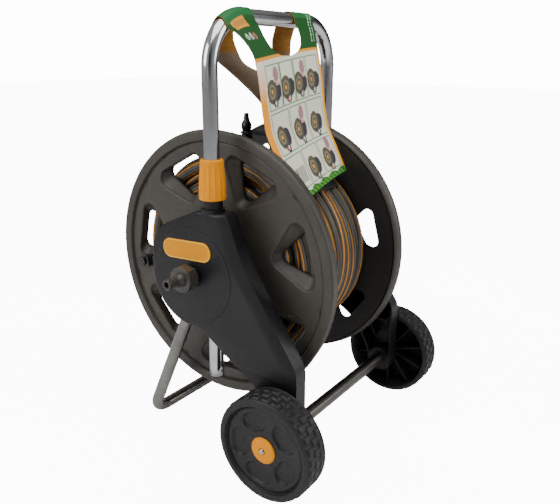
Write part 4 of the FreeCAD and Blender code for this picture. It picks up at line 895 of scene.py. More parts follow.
# ------------------------------------------------------------------ the drum
@dataclass
class Drum:
    """Both flanges with their window funnels, the core halves and the small drum pieces."""

    flange_r: float = 205.0
    face_x: float = 110.0
    depth: float = 21.0
    band: float = 17.0
    raise_mm: float = 4.5
    draft: float = 4.0
    cheek_x: float = 90.4
    windows: int = 7
    first_deg: float = 165.0
    hub_r: float = 20.0
    wide: tuple[float, float, float, float] = (158.0, 12.0, 119.0, 14.5)
    narrow: tuple[float, float, float, float] = (162.0, 7.6, 124.0, 10.0)
    lip_mm: float = 3.0
    window_middle: float = 146.0
    wall: float = 2.5
    boss_x: float = 133.5
    stub_x: float = 136.0
    stub_r: float = 12.5
    stub_end: float = 185.9
    square_half: float = 8.5

    def outline(self, shape: tuple[float, float, float, float]) -> tuple[np.ndarray, np.ndarray]:
        """Walk a rounded triangle: the straight hull of three corner circles.

        On a corner the point stays at the circle's centre while the normal turns; on a side
        the normal stays and the point slides to the next centre.

        Args:
            shape: ring radius and half spread of the outer centres, apex radius, corner radius.

        Returns:
            The centre points and the unit normals, arrays (count, 2) about the first window.
        """
        ring, spread, apex, _ = shape
        s = math.radians(spread)
        centres = np.array([[apex, 0.0], [ring * math.cos(s), -ring * math.sin(s)],
                            [ring * math.cos(s), ring * math.sin(s)]])
        sides = np.roll(centres, -1, axis=0) - centres
        facing = np.arctan2(-sides[:, 0], sides[:, 1])
        before = np.roll(facing, 1)
        swing = (facing - before) % (2 * np.pi)
        t = np.linspace(0, 1, 15)[None, :]
        corner_angle = before[:, None] + swing[:, None] * t
        corner_point = np.repeat(centres[:, None], 15, 1)
        u = np.linspace(0, 1, 14)[None, 1:-1, None]
        side_point = centres[:, None] + sides[:, None] * u
        side_angle = np.repeat(facing[:, None], 12, 1)
        points = np.concatenate([corner_point, side_point], 1).reshape(-1, 2)
        angle = np.concatenate([corner_angle, side_angle], 1).reshape(-1)
        points, angle = np.roll(points, -7, axis=0), np.roll(angle, -7)
        angle = np.append(angle, angle[0])
        return (np.concatenate([points, points[:1]]),
                np.stack([np.cos(angle), np.sin(angle)], -1))

    def sector(self) -> Patch:
        """One seventh of the web with its window, for a window on the +Y axis.

        From inside out the rings are: down the funnel, where centres and radius slide from
        the narrow outline to the wide one; round the lip, a quarter circle; then straight
        lines from the lip to the sector's edge, whose points are the lip's own points pushed
        away from the window's middle until they meet the edge.

        Returns:
            The patch in (x, y, z) about the drum's middle, z not yet raised to the axle.
        """
        wide_point, wide_normal = self.outline(self.wide)
        slim_point, slim_normal = self.outline(self.narrow)
        web = -(self.face_x - self.raise_mm)
        rings, depths = [], []
        down = np.linspace(0, 1, 7)
        for share in down:
            point = slim_point + (wide_point - slim_point) * share
            normal = slim_normal + (wide_normal - slim_normal) * share
            normal /= np.linalg.norm(normal, axis=1, keepdims=True)
            size = self.narrow[3] + (self.wide[3] - self.narrow[3]) * share
            rings.append(point + normal * size)
            depths.append(-self.cheek_x + (web + self.lip_mm + self.cheek_x) * share)
        for turn in np.radians([22, 45, 68, 90]):
            size = self.wide[3] + self.lip_mm * (1 - math.cos(turn))
            rings.append(wide_point + wide_normal * size)
            depths.append(web + self.lip_mm * (1 - math.sin(turn)))
        lip = rings[-1]
        edge = self.sector_edge(lip, np.array([self.window_middle, 0.0]))
        for share in (0.12, 0.3, 0.5, 0.75, 1.0):
            rings.append(lip + (edge - lip) * share)
            depths.append(web)
        flat = np.stack(rings)
        x = np.broadcast_to(np.array(depths)[:, None], flat.shape[:2])
        return grid(np.concatenate([x[..., None], flat], -1))

    def sector_edge(self, ring: np.ndarray, middle: np.ndarray) -> np.ndarray:
        """Where lines from the window's middle through a ring leave the sector.

        The sector runs between two rays from the axle and between two circles; each line is
        cut at the first of the four, found as the smallest positive share along it.
        """
        way = ring - middle
        way /= np.linalg.norm(way, axis=1, keepdims=True)
        half = math.pi / self.windows
        reach = [self.circle_cut(middle, way, self.flange_r - self.band),
                 self.circle_cut(middle, way, self.hub_r)]
        for sign in (1, -1):
            normal = np.array([-math.sin(half), math.cos(half) * sign])
            speed = way @ normal
            leaves = speed > 1e-9
            share = -(middle @ normal) / np.where(leaves, speed, 1)
            reach.append(np.where(leaves, share, NEVER))
        return middle + way * np.min(np.stack(reach), axis=0)[:, None]

    @staticmethod
    def circle_cut(middle: np.ndarray, way: np.ndarray, radius: float) -> np.ndarray:
        """Share along each line at which it meets a circle about the axle, or NEVER."""
        b = way @ middle
        gap = b * b - (middle @ middle - radius * radius)
        root = np.sqrt(np.maximum(gap, 0))
        outside = middle @ middle > radius * radius
        share = -b - root if outside else -b + root
        return np.where((gap > 0) & (share > 0), share, NEVER)

    def rim_profile(self) -> list[tuple[float, float]]:
        """Section of the raised band and rim wall, from under the web to the rim's back."""
        face, web, r = -self.face_x, -(self.face_x - self.raise_mm), self.flange_r
        inner = r - self.band
        corner = [(face + 2.6 - 2.6 * math.sin(t), inner + 3.4 - 2.6 * math.cos(t))
                  for t in np.linspace(0.15, math.pi / 2, 6)]
        nose = [(face + 4.0 - 4.0 * math.cos(t), r - 4.0 + 4.0 * math.sin(t))
                for t in np.linspace(0, math.pi / 2, 7)]
        return ([(web + 1.6, inner - 0.8), (web - 0.6, inner), (face + 2.2, inner + 0.6)] + corner
                + [(face, inner + 9.0)] + nose + [(face + 12.0, r - 1.8),
                                                  (face + self.depth, r - self.draft)])

    def flange(self, side: Side, finishes: Finishes) -> None:
        """Build one flange: seven sectors turned about the axle, the rim and the hub boss."""
        sector = self.sector()
        patches = []
        for i in range(self.windows):
            a = math.radians(self.first_deg + 360.0 / self.windows * i)
            turn = np.array([[1, 0, 0], [0, math.cos(a), -math.sin(a)],
                             [0, math.sin(a), math.cos(a)]])
            patches.append(Patch(sector.points @ turn.T + [0, 0, AXLE_Z], sector.faces).on(side))
        patches.append(turned(self.rim_profile(), 168).on(side))
        web = -(self.face_x - self.raise_mm)
        boss = [(web + 2.0, self.hub_r + 4.0), (web - 0.6, self.hub_r + 3.4),
                (web - 8.0, self.hub_r - 1), (-self.boss_x, 18.5), (-self.boss_x, 12.6),
                (-self.stub_x, self.stub_r), (-150.0, self.stub_r)]
        patches.append(turned(boss, 64).on(side))
        faces_out = [p.flipped() for p in patches]
        piece = build(f"{side.label}_flange_moulding", faces_out, closed=False)
        walled(piece, self.wall)
        # The far flange's node is stood for by its stub, which crank_stub builds.
        nodes = ["near_flange"] if side is Side.NEAR else []
        dress(piece, Body.DRUM, finishes.drum, "drum_plastic", *nodes)

    def build(self, finishes: Finishes) -> None:
        """Build the drum without its hose."""
        self.flange(Side.NEAR, finishes)
        self.flange(Side.FAR, finishes)
        self.crank_stub(finishes)
        for side in Side:
            # The core halves take the near-black finish whose colour is painted shade inside the
            # drum.
            skin(f"{side.label}_core_half", Body.DRUM, finishes.cheek, "drum_plastic", 0.0)
        skin("hose_clip", Body.DRUM, finishes.clip, "frame_plastic", 0.8)
        paint_nodes(finishes.zinc, "core_screws")
        paint_nodes(finishes.inlet, "water_tube", "hose_spigot", "near_bush", "far_bush")

    def crank_stub(self, finishes: Finishes) -> None:
        """The far stub that reaches out to the crank: round, then square with its corners cut."""
        turn = np.linspace(0, 2 * np.pi, 65)
        square = self.square_half / np.maximum(np.abs(np.cos(turn)), np.abs(np.sin(turn)))
        square = np.minimum(square, self.square_half * 1.36)
        circle, point = np.full(65, self.stub_r), np.zeros(65)
        stations = [(self.stub_x, circle), (173.6, circle), (174.0, square),
                    (self.stub_end, square), (self.stub_end, point)]
        rings = [np.stack([np.full(65, x), r * np.cos(turn), AXLE_Z + r * np.sin(turn)], -1)
                 for x, r in stations]
        piece = build("far_flange_stub", [grid(np.stack(rings))], closed=False)
        dress(piece, Body.DRUM, finishes.drum, "drum_plastic", "far_flange")


# ------------------------------------------------------------------ side frames and inlet
@dataclass
class SideFrames:
    """The two moulded side shells with their covers, badges and collets, and the inlet."""

    badge_length: float = 92.0
    badge_height: float = 29.0
    badge_thick: float = 1.6
    badge_y: float = 8.0
    badge_rise: float = 37.4
    badge_tilt_deg: float = 3.0
    face_x: float = 165.6

    def badge(self, side: Side, finishes: Finishes) -> None:
        """A pill-shaped plate: rings drawn in from the rim towards a straight spine.

        A ring's point is its spine point plus its normal times (half height - inset); the
        border's height over the plate follows the inset.
        """
        radius = self.badge_height / 2
        reach = self.badge_length / 2 - radius
        turn = np.linspace(0, np.pi, 25)
        angle = np.concatenate([turn - np.pi / 2, turn + np.pi / 2, [1.5 * np.pi]])
        spine = np.concatenate([np.full(25, reach), np.full(25, -reach), [reach]])
        section = [(0.0, 0.0), (0.0, 0.9), (0.35, 1.4), (0.9, self.badge_thick),
                   (2.0, self.badge_thick), (2.5, 1.25), (2.9, 1.1), (4.0, 1.1),
                   (radius * 0.6, 1.15), (radius, 1.2)]
        inset = np.array([s[0] for s in section])[:, None]
        height = np.array([s[1] for s in section])[:, None]
        along = spine[None, :] + (radius - inset) * np.cos(angle)[None, :]
        up = (radius - inset) * np.sin(angle)[None, :]
        tilt = math.radians(-self.badge_tilt_deg)
        y = self.badge_y + along * math.cos(tilt) - up * math.sin(tilt)
        z = AXLE_Z + self.badge_rise + along * math.sin(tilt) + up * math.cos(tilt)
        x = np.broadcast_to(-self.face_x - height, y.shape)
        uv = np.stack(np.broadcast_arrays(inset, along), -1)
        piece = build(f"{side.label}_badge_plate", [grid(np.stack([x, y, z], -1), uv).on(side)])
        dress(piece, Body.FRAME, finishes.badge, "badge_plastic", f"{side.label}_badge")

    def build(self, finishes: Finishes) -> None:
        """Build both shells and everything fixed on them."""
        for side in Side:
            skin(f"{side.label}_frame", Body.FRAME, finishes.frame, "frame_plastic", 0.7)
            skin(f"{side.label}_hub_cover", Body.FRAME, finishes.frame, "frame_plastic", 0.3)
            skin(f"{side.label}_collet", Body.FRAME, finishes.frame, "frame_plastic")
            self.badge(side, finishes)
        skin("inlet_nut", Body.FRAME, finishes.inlet, "inlet_plastic", 0.8)
        skin("inlet_plug", Body.FRAME, finishes.inlet, "inlet_plastic", 0.4)
        paint_nodes(finishes.inlet, "inlet_stem")
        paint_nodes(finishes.rubber, "stem_o_rings")


# ------------------------------------------------------------------ handle
@dataclass
class Handle:
    """The sliding U-shaped handle, its small pieces and the two twist collars."""

    leg_x: float = 148.5
    y: float = -29.4
    bottom_z: float = 127.0
    top_z: float = 641.0
    bend_r: float = 68.0
    tube_r: float = 11.0
    wall: float = 1.2
    collar_z: tuple[float, float] = (398.0, 454.0)
    flutes: int = 14
    flute_deep: float = 1.25

    def tube(self, finishes: Finishes) -> None:
        """Sweep the tube up one leg, round two bends and down the other leg."""
        foot, top = np.array([self.y, self.bottom_z]), np.array([self.y, self.top_z])
        path = u_route(self.leg_x, foot, top, self.bend_r)
        piece = build("handle_bow", [swept(path, self.tube_r, (0, 1, 0), 40)], closed=False)
        walled(piece, self.wall)
        dress(piece, Body.HANDLE, finishes.steel, "bright_steel", "handle_tube")

    def collar(self, side: Side, finishes: Finishes) -> None:
        """A tapering ring: r(z) less a flute's depth times a smooth wave of the turn."""
        low, high = self.collar_z
        height = high - low
        outer = [(14.5, 0.0), (17.6, 0.0), (18.6, 0.5), (19.0, 1.6), (19.0, 8.0), (18.8, 13.0)]
        outer += [(19.0 - 2.6 * float(smooth_step(np.array(s), 0.2, 1.0)), height * s)
                  for s in np.linspace(0.3, 0.93, 14)]
        outer += [(16.2, height - 1.4), (15.6, height - 0.4), (14.6, height), (12.6, height),
                  (11.7, height - 0.6), (11.6, height - 3.0), (14.3, height - 3.6), (14.5, 0.0)]
        line = np.array(outer)
        turn = np.linspace(0, 2 * np.pi, self.flutes * 12 + 1)
        depth = hump(line[:, 1], (2.0, 9.0), (height - 9, height - 3)) * (line[:, 0] > 15)
        wave = smooth_step(np.abs(np.sin(self.flutes * turn / 2)), 0.12, 0.8)
        radius = line[:, :1] - self.flute_deep * depth[:, None] * wave[None, :]
        x = -self.leg_x + radius * np.cos(turn)
        y = self.y + radius * np.sin(turn)
        z = np.broadcast_to(low + line[:, 1:], x.shape)
        piece = build(f"{side.label}_twist_collar", [grid(np.stack([x, y, z], -1)).on(side)],
                      corner_deg=50)
        body = Body.NEAR_COLLAR if side is Side.NEAR else Body.FAR_COLLAR
        dress(piece, body, finishes.yellow, "yellow_plastic", f"{side.label}_collar")

    def build(self, finishes: Finishes) -> None:
        """Build the handle and its collars."""
        self.tube(finishes)
        for side in Side:
            self.collar(side, finishes)
        paint_nodes(finishes.zinc, "handle_stop_pins")
        paint_nodes(finishes.frame, "handle_end_plugs")


def u_route(half: float, foot: np.ndarray, top: np.ndarray, bend: float) -> np.ndarray:
    """Points of a U: up a leg at -half, round quarter circles and down the leg at +half.

    Args:
        half: distance of each leg from the middle.
        foot: (y, z) of a leg's end.
        top: (y, z) of the crossbar.
        bend: radius of the bends.

    Returns:
        Array (count, 3).
    """
    span = float(np.linalg.norm(top - foot))
    leg = np.linspace(0, span - bend, 30)
    turn = np.linspace(0, np.pi / 2, 25)[1:-1]
    across = np.concatenate([np.full(30, -half), -half + bend - bend * np.cos(turn)])
    height = np.concatenate([leg, span - bend + bend * np.sin(turn)])
    bar = np.linspace(-half + bend, half - bend, 30)
    across = np.concatenate([across, bar, -across[::-1]])
    height = np.concatenate([height, np.full(30, span), height[::-1]])
    yz = foot + (top - foot) / span * height[:, None]
    return np.c_[across, yz]


# ------------------------------------------------------------------ display card
@dataclass
class DisplayCard:
    """The printed card folded over the grip bar, and the spray nozzle packed behind it."""

    left: float = -85.0
    right: float = 81.0
    bar_y: float = -29.4
    bar_z: float = 641.0
    wrap_r: float = 12.6
    thick: float = 0.9
    middle: float = 2.0
    hole_z: float = 598.0
    head: float = 196.0
    strap_width: float = 40.0
    strap_lean: float = 43.0
    hang_low: float = 34.0
    hang_high: float = 20.0
    bend_r: float = 68.0
    bar_half: float = 80.5
    bend_reach: float = 54.0
    front: tuple = ((-82.6, 415), (-61, 456), (-50.6, 474), (-45, 486), (-39, 515), (-32, 560),
                    (-22, 605), (-16.5, 630))
    back: tuple = ((19, 640), (27, 612), (23, 580), (6, 553), (-14, 522), (-31, 499), (-41.5, 485))

    def section(self) -> tuple[np.ndarray, np.ndarray]:
        """The card's line from its lower front edge, over the bar, to the join behind.

        The corners of the line are eased by averaging each point with its neighbours over a
        few millimetres, with both ends held.

        Returns:
            Points (count, 2) as (y, z) and the distance along them.
        """
        over = np.radians(np.arange(200, 19, -15))
        wrap = np.stack([self.bar_y + self.wrap_r * np.cos(over),
                         self.bar_z + self.wrap_r * np.sin(over)], -1)
        line = np.concatenate([np.array(self.front) + [self.bar_y, 0], wrap,
                               np.array(self.back) + [self.bar_y, 0]])
        run = np.concatenate([[0], np.cumsum(np.linalg.norm(np.diff(line, axis=0), axis=1))])
        even = np.arange(0, run[-1], 1.3)
        fine = np.stack([np.interp(even, run, line[:, k]) for k in range(2)], -1)
        held = np.concatenate([2 * fine[:1] - fine[4:0:-1], fine, 2 * fine[-1:] - fine[-2:-6:-1]])
        kernel = np.ones(9) / 9
        eased = np.stack([np.convolve(held[:, k], kernel, "valid") for k in range(2)], -1)
        return eased, even

    def opening(self, depth: np.ndarray, tall: float) -> np.ndarray:
        """How far the hand hole has opened at a height over its lower edge, from 0 to 1."""
        share = np.clip(1 - depth / tall, 0, 1)
        return np.where(depth > 0, (1 - share ** 2.4) ** (1 / 2.4), 0.0)

    def bend_drop(self, x: np.ndarray) -> np.ndarray:
        """How far the grip bar has bent down at a place outside its straight part."""
        beyond = np.clip(np.abs(x) - self.bar_half, 0, self.bend_reach)
        return self.bend_r - np.sqrt(self.bend_r ** 2 - beyond ** 2)

    def build(self, finishes: Finishes) -> None:
        """Build the folded sheet as a left and a right half that meet below the hand holes.

        Each row of the sheet spans from its left edge to the hole and from the hole to its
        right edge. A point's place comes from the section at its distance along the sheet,
        less a share that grows towards the left edge, as the left side hangs lower.
        """
        line, run = self.section()
        top = int(np.argmax(line[:, 1]))
        front_hole = run - np.interp(self.hole_z, line[:top, 1], run[:top])
        rear_run = run[-1] - run
        behind = line[top:][::-1]
        rear_hole = rear_run - np.interp(self.hole_z - 32.0, behind[:, 1], rear_run[top:][::-1])
        is_front = np.arange(len(run)) <= top
        opened = np.where(is_front, self.opening(front_hole, 30.0), self.opening(rear_hole, 26.0))
        lean = hump(run, (self.head, run[top] - 8), (run[top] + 30, run[-1] - 40))
        waist = 40.0 * smooth_step(rear_run, 170.0, 0.0) * ~is_front
        low_left = self.left - self.strap_lean * lean + waist
        low_right = self.right - waist
        mid = self.middle - 8.0 * lean
        left_strap = self.strap_width + 18.0 * lean
        right_strap = self.strap_width + 12.0 * lean
        hole_left = mid - opened * (mid - low_left - left_strap)
        hole_right = mid + opened * (low_right - right_strap - mid)
        share = np.linspace(0, 1, 70)[None, :]
        left_x = low_left[:, None] + (hole_left - low_left)[:, None] * share
        right_x = hole_right[:, None] + (low_right - hole_right)[:, None] * share
        hang = np.interp(run, [0, self.head, run[top] - 10], [self.hang_low, self.hang_high, 0.0])
        tail = line[:1] + np.array([[-0.76, -0.65]]) * np.arange(40, 0, -1)[:, None]
        long_line = np.concatenate([tail, line])
        long_run = np.concatenate([np.arange(-40, 0), run])
        near_bar = hump(run, (run[top] - 75, run[top] - 8), (run[top] + 45, run[top] + 130))
        patches = []
        for x in (left_x, right_x):
            far_share = (self.right - x) / (self.right - self.left)
            place = run[:, None] - hang[:, None] * far_share ** 1.3 * is_front[:, None]
            y = np.interp(place, long_run, long_line[:, 0])
            z = np.interp(place, long_run, long_line[:, 1])
            drop = self.bend_drop(x)
            stretch = self.bend_r / (self.bend_r - drop) - 1
            widen = near_bar[:, None] * stretch * (z > self.bar_z)
            z = z + (z - self.bar_z) * widen - drop * near_bar[:, None]
            colour = self.inks(x + self.strap_lean * lean[:, None] * (x < mid[:, None]),
                               np.broadcast_to(run[:, None], x.shape), run[top])
            patches.append(grid(np.stack([x, y, z], -1), None, colour).flipped())
        piece = build("card_sheet", patches, closed=False)
        piece.data.materials.append(finishes.card)
        wall = piece.modifiers.new("board", "SOLIDIFY")
        wall.thickness = self.thick * MM
        wall.offset = 0.0
        wall.material_offset = 1
        wall.material_offset_rim = 1
        piece.data.materials.append(finishes.bare_card)
        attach(piece, Body.HANDLE.value)
        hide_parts("card_sleeve")
        LOG.info("card_sheet rides on handle")
        skin("hose_nozzle", Body.HANDLE, finishes.clip, "inlet_plastic", 0.5)
        self.reach_card(skin("nozzle_holder", Body.HANDLE, finishes.frame, "frame_plastic", 0.4))

    def reach_card(self, holder: bpy.types.Object) -> None:
        """Draw the holder's arm out to the back of the front panel, where it is held.

        The arm's end face is every vertex within half a millimetre of the lowest Y. It moves
        to the panel's own line at the arm's height.
        """
        spots = np.empty(len(holder.data.vertices) * 3)
        holder.data.vertices.foreach_get("co", spots)
        spots = spots.reshape(-1, 3)
        end = spots[:, 1] < spots[:, 1].min() + 0.5 * MM
        depth, height = np.array(self.front).T
        panel = np.interp(spots[end, 2].mean() / MM, height, depth) + self.bar_y
        spots[end, 1] = placed(np.array([0.0, panel + self.thick / 4, 0.0]))[1]
        holder.data.vertices.foreach_set("co", spots.ravel())
        holder.data.update()

    def inks(self, x: np.ndarray, run: np.ndarray, top: float) -> np.ndarray:
        """The print: flat fields by place, then frames and small cart pictures in them.

        Args:
            x: place across the card in millimetres.
            run: distance up from the lower front edge in millimetres.
            top: run at the top of the bar.

        Returns:
            Linear colours, array of x's shape and 4.
        """
        def ink(code: str) -> np.ndarray:
            """A colour as an array."""
            return np.array(linear(code))

        def lay(colour: np.ndarray, mask: np.ndarray, code: str) -> np.ndarray:
            """Print a colour where the mask is set."""
            return np.where(mask[..., None], ink(code), colour)

        colour = np.broadcast_to(ink("E2E4CE"), x.shape + (4,)).copy()
        head = self.head
        from_left, from_right = x - self.left, self.right - x
        fade = np.clip((head - run) / 55.0, 0, 1)[..., None]
        border = ink("F4EBDD") * (1 - fade) + ink("FFA400") * fade
        colour = np.where(((from_left < 14) & (run < head))[..., None], border, colour)
        colour = lay(colour, (from_right < 6.5) & (run < head), "FFA600")
        rows = ((128.0, 190.0, 4), (66.0, 126.0, 3), (12.0, 64.0, 3))
        for row, (low, high, cells) in enumerate(rows):
            start, end = self.left + 17.0, self.right - 9.0
            width = (end - start) / cells
            for cell in range(cells):
                cx, cy = start + width * (cell + 0.5), (low + high) / 2
                dx, dy = np.abs(x - cx), np.abs(run - cy)
                inside = np.maximum(dx - width / 2 + 0.8, dy - (high - low) / 2 + 0.8)
                colour = lay(colour, (inside < 0) & (inside > -1.5), "1E6A28")
                if row == 2 and cell == 0:
                    bars = (inside < -6) & (np.sin(x * 2.4) > -0.1) & (run > 20) & (run < 44)
                    colour = lay(colour, bars, "4C4C55")
                    continue
                colour = self.cart_picture(colour, lay, x - cx, run - (cy - 8.0), row + cell)
        colour = lay(colour, run < 9.0 + 1.6 * np.sin(x / 5.0), "2C6B22")
        colour = lay(colour, (run < 7.0) & (np.sin(x * 0.55 + run * 0.3) > 0.55), "58A12A")
        header = run > head
        colour = lay(colour, header & (run < head + 3.2), "F0A020")
        colour = lay(colour, run >= head + 3.2, "065012")
        shade = (run > top - 16) & (run < top + 12)
        colour = lay(colour, shade, "1C6A34")
        plate = np.maximum(np.abs(x + 66.0) - 13.0, np.abs(run - (top - 22.0)) - 5.5)
        colour = lay(colour, (plate < 0) & (run < top + 10), "EFA22C")
        colour = lay(colour, (plate < -1.8) & (run < top + 10), "C98A35")
        for spot, code in ((-73.0, "DDE7D5"), (-64.5, "DDE7D5"), (-56.0, "C9726A")):
            ring = np.hypot(x - spot, run - (top - 38.0))
            colour = lay(colour, (ring < 3.2) & (ring > 1.4), code)
        dashes = (np.abs(x - 67.0) < 1.1) | (np.abs(x - 73.5) < 0.8)
        dashes &= (run > head + 12) & (run < top + 6) & (np.sin(run * 1.3) > -0.5)
        colour = lay(colour, dashes, "CFE3C8")
        return lay(colour, run > top + 14.0, "8A5A1C")

    @staticmethod
    def cart_picture(colour: np.ndarray, lay: Callable, dx: np.ndarray, dy: np.ndarray,
                     kind: int) -> np.ndarray:
        """A plain picture of a reel cart: two leaning discs, legs and sometimes a hand."""
        dx, dy = dx / 1.4, dy / 1.4
        near = np.hypot(dx + 4.0, (dy - 2.0) * 0.72)
        far = np.hypot(dx - 4.5, (dy - 1.0) * 0.80)
        colour = lay(colour, far < 7.2, "34323A")
        colour = lay(colour, near < 8.4, "57503F")
        colour = lay(colour, (near < 5.2) & (near > 3.4), "857B60")
        colour = lay(colour, near < 1.6, "D9A24A")
        legs = (np.abs(dx + dy * 0.4 + 6.0) < 1.3) | (np.abs(dx - dy * 0.3 - 6.0) < 1.3)
        colour = lay(colour, legs & (dy < -5) & (dy > -14), "3B3A40")
        if kind % 2 == 0:
            colour = lay(colour, np.hypot(dx - 5.0, (dy - 17.0) * 0.6) < 4.6, "A77A7E")
            colour = lay(colour, np.hypot(dx - 6.0, dy - 9.0) < 2.6, "D9A79A")
        if kind % 3 == 1:
            colour = lay(colour, np.hypot(dx + 3.0, dy + 10.5) < 1.8, "C4574B")
        return colour


# ------------------------------------------------------------------ stand, axle, wheels, crank
@dataclass
class Undercarriage:
    """The bent stand, the axle and the two moulded wheels with their caps."""

    stand_x: float = 146.0
    stand_r: float = 9.5
    stand_wall: float = 1.2
    stand_y: float = 118.5
    stand_lean_deg: float = 24.6
    stand_top: float = 247.0
    stand_bend: float = 34.0
    axle_y: float = -161.0
    axle_half: float = 155.5
    axle_r: float = 10.0
    wheel_r: float = 77.0
    wheel_out: float = 211.6
    wheel_in: float = 167.8
    band_r: float = 64.0
    hub_r: float = 15.0
    dish: float = 4.5
    treads: int = 30
    pockets: int = 5
    ribs: int = 10
    cap_r: float = 19.5
    bore_r: float = 4.2
    tread_deep: float = 2.3
    pocket_ring: float = 41.5
    pocket_half_arc: float = 6.5
    pocket_border: float = 13.6
    pocket_deep: float = 3.2
    first_pocket_deg: float = -76.0

    def stand(self, finishes: Finishes) -> None:
        """Sweep the stand's tube; its crossbar lies on the floor."""
        lean = math.radians(self.stand_lean_deg)
        rise = (self.stand_top - self.stand_r) / math.cos(lean)
        bar = np.array([self.stand_y, self.stand_r])
        top = bar + rise * np.array([-math.sin(lean), math.cos(lean)])
        path = u_route(self.stand_x, top, bar, self.stand_bend)
        plane = (0.0, math.cos(lean), math.sin(lean))
        piece = build("stand_bow", [swept(path, self.stand_r, plane, 32)], closed=False)
        walled(piece, self.stand_wall)
        dress(piece, Body.FRAME, finishes.stand, "bright_steel", "stand_tube")
        skin("stand_screws", Body.FRAME, finishes.zinc, "zinc_steel")

    def axle(self, finishes: Finishes) -> None:
        """Sweep the spacer tube between the lugs; rod and rings keep their CAD shape."""
        x = np.linspace(-self.axle_half, self.axle_half, 40)
        path = np.stack([x, np.full(40, self.axle_y), np.full(40, self.wheel_r)], -1)
        piece = build("axle_sleeve", [swept(path, self.axle_r, (0, 1, 0), 32)], closed=False)
        walled(piece, 1.2)
        dress(piece, Body.FRAME, finishes.axle, "bright_steel", "axle_tube")
        skin("axle_rod", Body.FRAME, finishes.zinc, "zinc_steel", 0.3)
        skin("axle_push_nuts", Body.FRAME, finishes.zinc, "zinc_steel")

    def pocket_depth(self, y: np.ndarray, z: np.ndarray) -> np.ndarray:
        """Depth of the face's pockets at points about the wheel's middle.

        Each pocket is an arc about the wheel's middle with a round border; the point is
        turned back to the nearest pocket, and its distance from the arc tells how far
        inside it lies.
        """
        step = 2 * np.pi / self.pockets
        angle = np.arctan2(z, y) - math.radians(self.first_pocket_deg)
        angle = (angle + step / 2) % step - step / 2
        radius = np.hypot(y, z)
        beyond = np.maximum(np.abs(angle) * self.pocket_ring - self.pocket_half_arc, 0.0)
        inside = np.hypot(radius - self.pocket_ring, beyond) - self.pocket_border
        return self.pocket_deep * smooth_step(-inside, -0.9, 1.6)

    def tread_cut(self, x: np.ndarray, turn: np.ndarray) -> np.ndarray:
        """Depth of the tread's grooves: three rows of blocks, the middle one half a step on."""
        width = (self.wheel_out - self.wheel_in - 7.0) / 3
        place = (x + self.wheel_out - 4.0) / width
        row = np.clip(np.floor(place), 0, 2)
        across = np.abs(place - row - 0.5)
        phase = (turn * self.treads / (2 * np.pi) + 0.5 * (row % 2)) % 1.0
        along = np.abs(phase - 0.5)
        edge = np.maximum((along - 0.30) * 14.0, (across - 0.33) * width)
        bite = 1 - smooth_step(-edge, -1.1, 0.5)
        return self.tread_deep * bite * hump(place, (-0.25, 0.05), (2.95, 3.25))

    def wheel(self, side: Side, finishes: Finishes) -> None:
        """Turn the wheel's section and shape it by its treads and pockets; add the ribs."""
        out, inner, r = -self.wheel_out, -self.wheel_in, self.wheel_r
        face, band, hub, bore = out + self.dish, self.band_r, self.hub_r, self.bore_r
        section = [(face + 0.2, bore)] + [(face, s) for s in np.linspace(17.5, band - 4.0, 38)]
        section += [(face + 0.3, band - 2.6), (face + 1.4, band - 1.6), (face + 1.6, band - 0.4),
                    (face + 0.8, band + 0.4), (out + 1.2, band + 1.2), (out + 0.3, band + 2.0),
                    (out, band + 3.2), (out + 0.2, r - 6.0), (out + 0.9, r - 3.6),
                    (out + 2.2, r - 1.6), (out + 3.8, r - 0.5)]
        section += [(x, r) for x in np.linspace(out + 5.0, inner - 4.0, 44)]
        section += [(inner - 2.0, r - 0.8), (inner - 0.6, r - 2.2), (inner, r - 4.0),
                    (inner, r - 8.0), (inner - 0.8, r - 8.8), (face + 12.0, r - 12.5),
                    (face + 7.0, r - 16.0), (face + 5.0, r - 20.0), (face + 5.0, hub + 0.6),
                    (face + 6.0, hub), (inner - 0.8, hub), (inner, hub - 0.8), (inner, bore),
                    (face + 0.2, bore)]

        def swell(x: np.ndarray, radius: np.ndarray,
                  turn: np.ndarray) -> tuple[np.ndarray, np.ndarray]:
            """Sink the pockets into the face and cut the grooves into the tread."""
            on_face = (np.abs(x - face) < 0.1) & (radius > 17)
            depth = self.pocket_depth(radius * np.cos(turn), radius * np.sin(turn))
            on_tread = (radius > r - 0.6) & (x > out + 3.0)
            return x + depth * on_face, radius - self.tread_cut(x, turn) * on_tread

        patches = [turned(section, self.treads * 12, self.axle_y, r, swell).on(side)]
        for i in range(self.ribs):
            a = 2 * math.pi * (i + 0.5) / self.ribs
            patches.append(self.rib(a, face + 4.0).on(side))
        piece = build(f"{side.label}_wheel_moulding", patches, corner_deg=42)
        node = Body.NEAR_WHEEL if side is Side.NEAR else Body.FAR_WHEEL
        dress(piece, node, finishes.wheel, "wheel_plastic", f"{side.label}_wheel")
        self.cap(side, node, finishes)

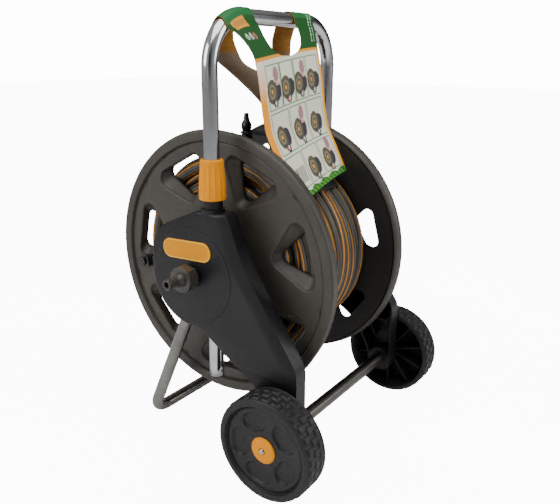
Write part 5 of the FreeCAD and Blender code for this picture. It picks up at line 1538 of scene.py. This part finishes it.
    def rib(self, angle: float, start_x: float) -> Patch:
        """One rib inside the wheel: a thin box whose section thins towards its free edge."""
        length = (self.hub_r - 1.0, self.wheel_r - 12.0)
        depth = (start_x, -self.wheel_in - 10.0)
        loop = np.array([[-1.3, 0], [-0.9, 1], [0.9, 1], [1.3, 0], [-1.3, 0]])
        out, side = spoke(angle)
        rings = []
        for r, size in ((length[0], 0.0), (length[0], 1.0), (length[1], 1.0), (length[1], 0.0)):
            centre = out * r + np.array([(depth[0] + depth[1]) / 2, 0, 0])
            span = np.array([depth[0] + (depth[1] - depth[0]) * t for _, t in loop])
            ring = out * r + side * loop[:, :1] + np.array([1.0, 0, 0]) * span[:, None]
            rings.append(centre + (ring - centre) * size)
        return grid(np.stack(rings) + np.array([0, self.axle_y, self.wheel_r]))

    def cap(self, side: Side, body: Body, finishes: Finishes) -> None:
        """Turn the hub cap: a shallow dome round the rod's end."""
        face, r = -self.wheel_out + self.dish, self.cap_r
        dome = [(face - 0.9 - 3.1 * math.sin(a), r * math.cos(a) + 4.7 * (1 - math.cos(a)))
                for a in np.linspace(0, np.pi / 2, 12)]
        section = [(face + 0.6, r - 4.0), (face + 0.6, r - 0.3), (face - 0.4, r)]
        section += dome[:-1] + [(face - 4.0, 5.4), (face - 3.6, 4.7), (face - 2.4, 4.6),
                                (face - 1.8, 9.0), (face + 0.6, 9.4), (face + 0.6, r - 4.0)]
        patch = turned(section, 72, self.axle_y, self.wheel_r)
        patch.uv = None
        piece = build(f"{side.label}_hub_cap", [patch.on(side)], corner_deg=50)
        dress(piece, body, finishes.yellow, "yellow_plastic", f"{side.label}_wheel_cap")

    def build(self, finishes: Finishes) -> None:
        """Build everything the cart stands and rolls on."""
        self.stand(finishes)
        self.axle(finishes)
        for side in Side:
            self.wheel(side, finishes)


@dataclass
class Crank:
    """The crank arm, its screw, the spindle and the turning grip."""

    rounding: float = 1.0

    def build(self, finishes: Finishes) -> None:
        """Dress the crank's welded copies."""
        skin("crank_arm", Body.DRUM, finishes.frame, "frame_plastic", self.rounding)
        skin("crank_screw", Body.DRUM, finishes.zinc, "zinc_steel", 0.3)
        skin("grip_spindle", Body.DRUM, finishes.zinc, "zinc_steel", 0.3)
        skin("crank_grip", Body.GRIP, finishes.frame, "frame_plastic", self.rounding)


def main() -> None:
    """Build the studio and the cart."""
    logging.basicConfig(level=logging.INFO, format="%(name)s: %(message)s")
    Studio().build()
    finishes = Finishes()
    hose = WoundHose()
    hose.hose(finishes)
    hose.strap(finishes)
    Drum().build(finishes)
    SideFrames().build(finishes)
    Handle().build(finishes)
    DisplayCard().build(finishes)
    Undercarriage().build(finishes)
    Crank().build(finishes)
    bpy.context.view_layer.update()


if __name__ == "__main__":
    main()
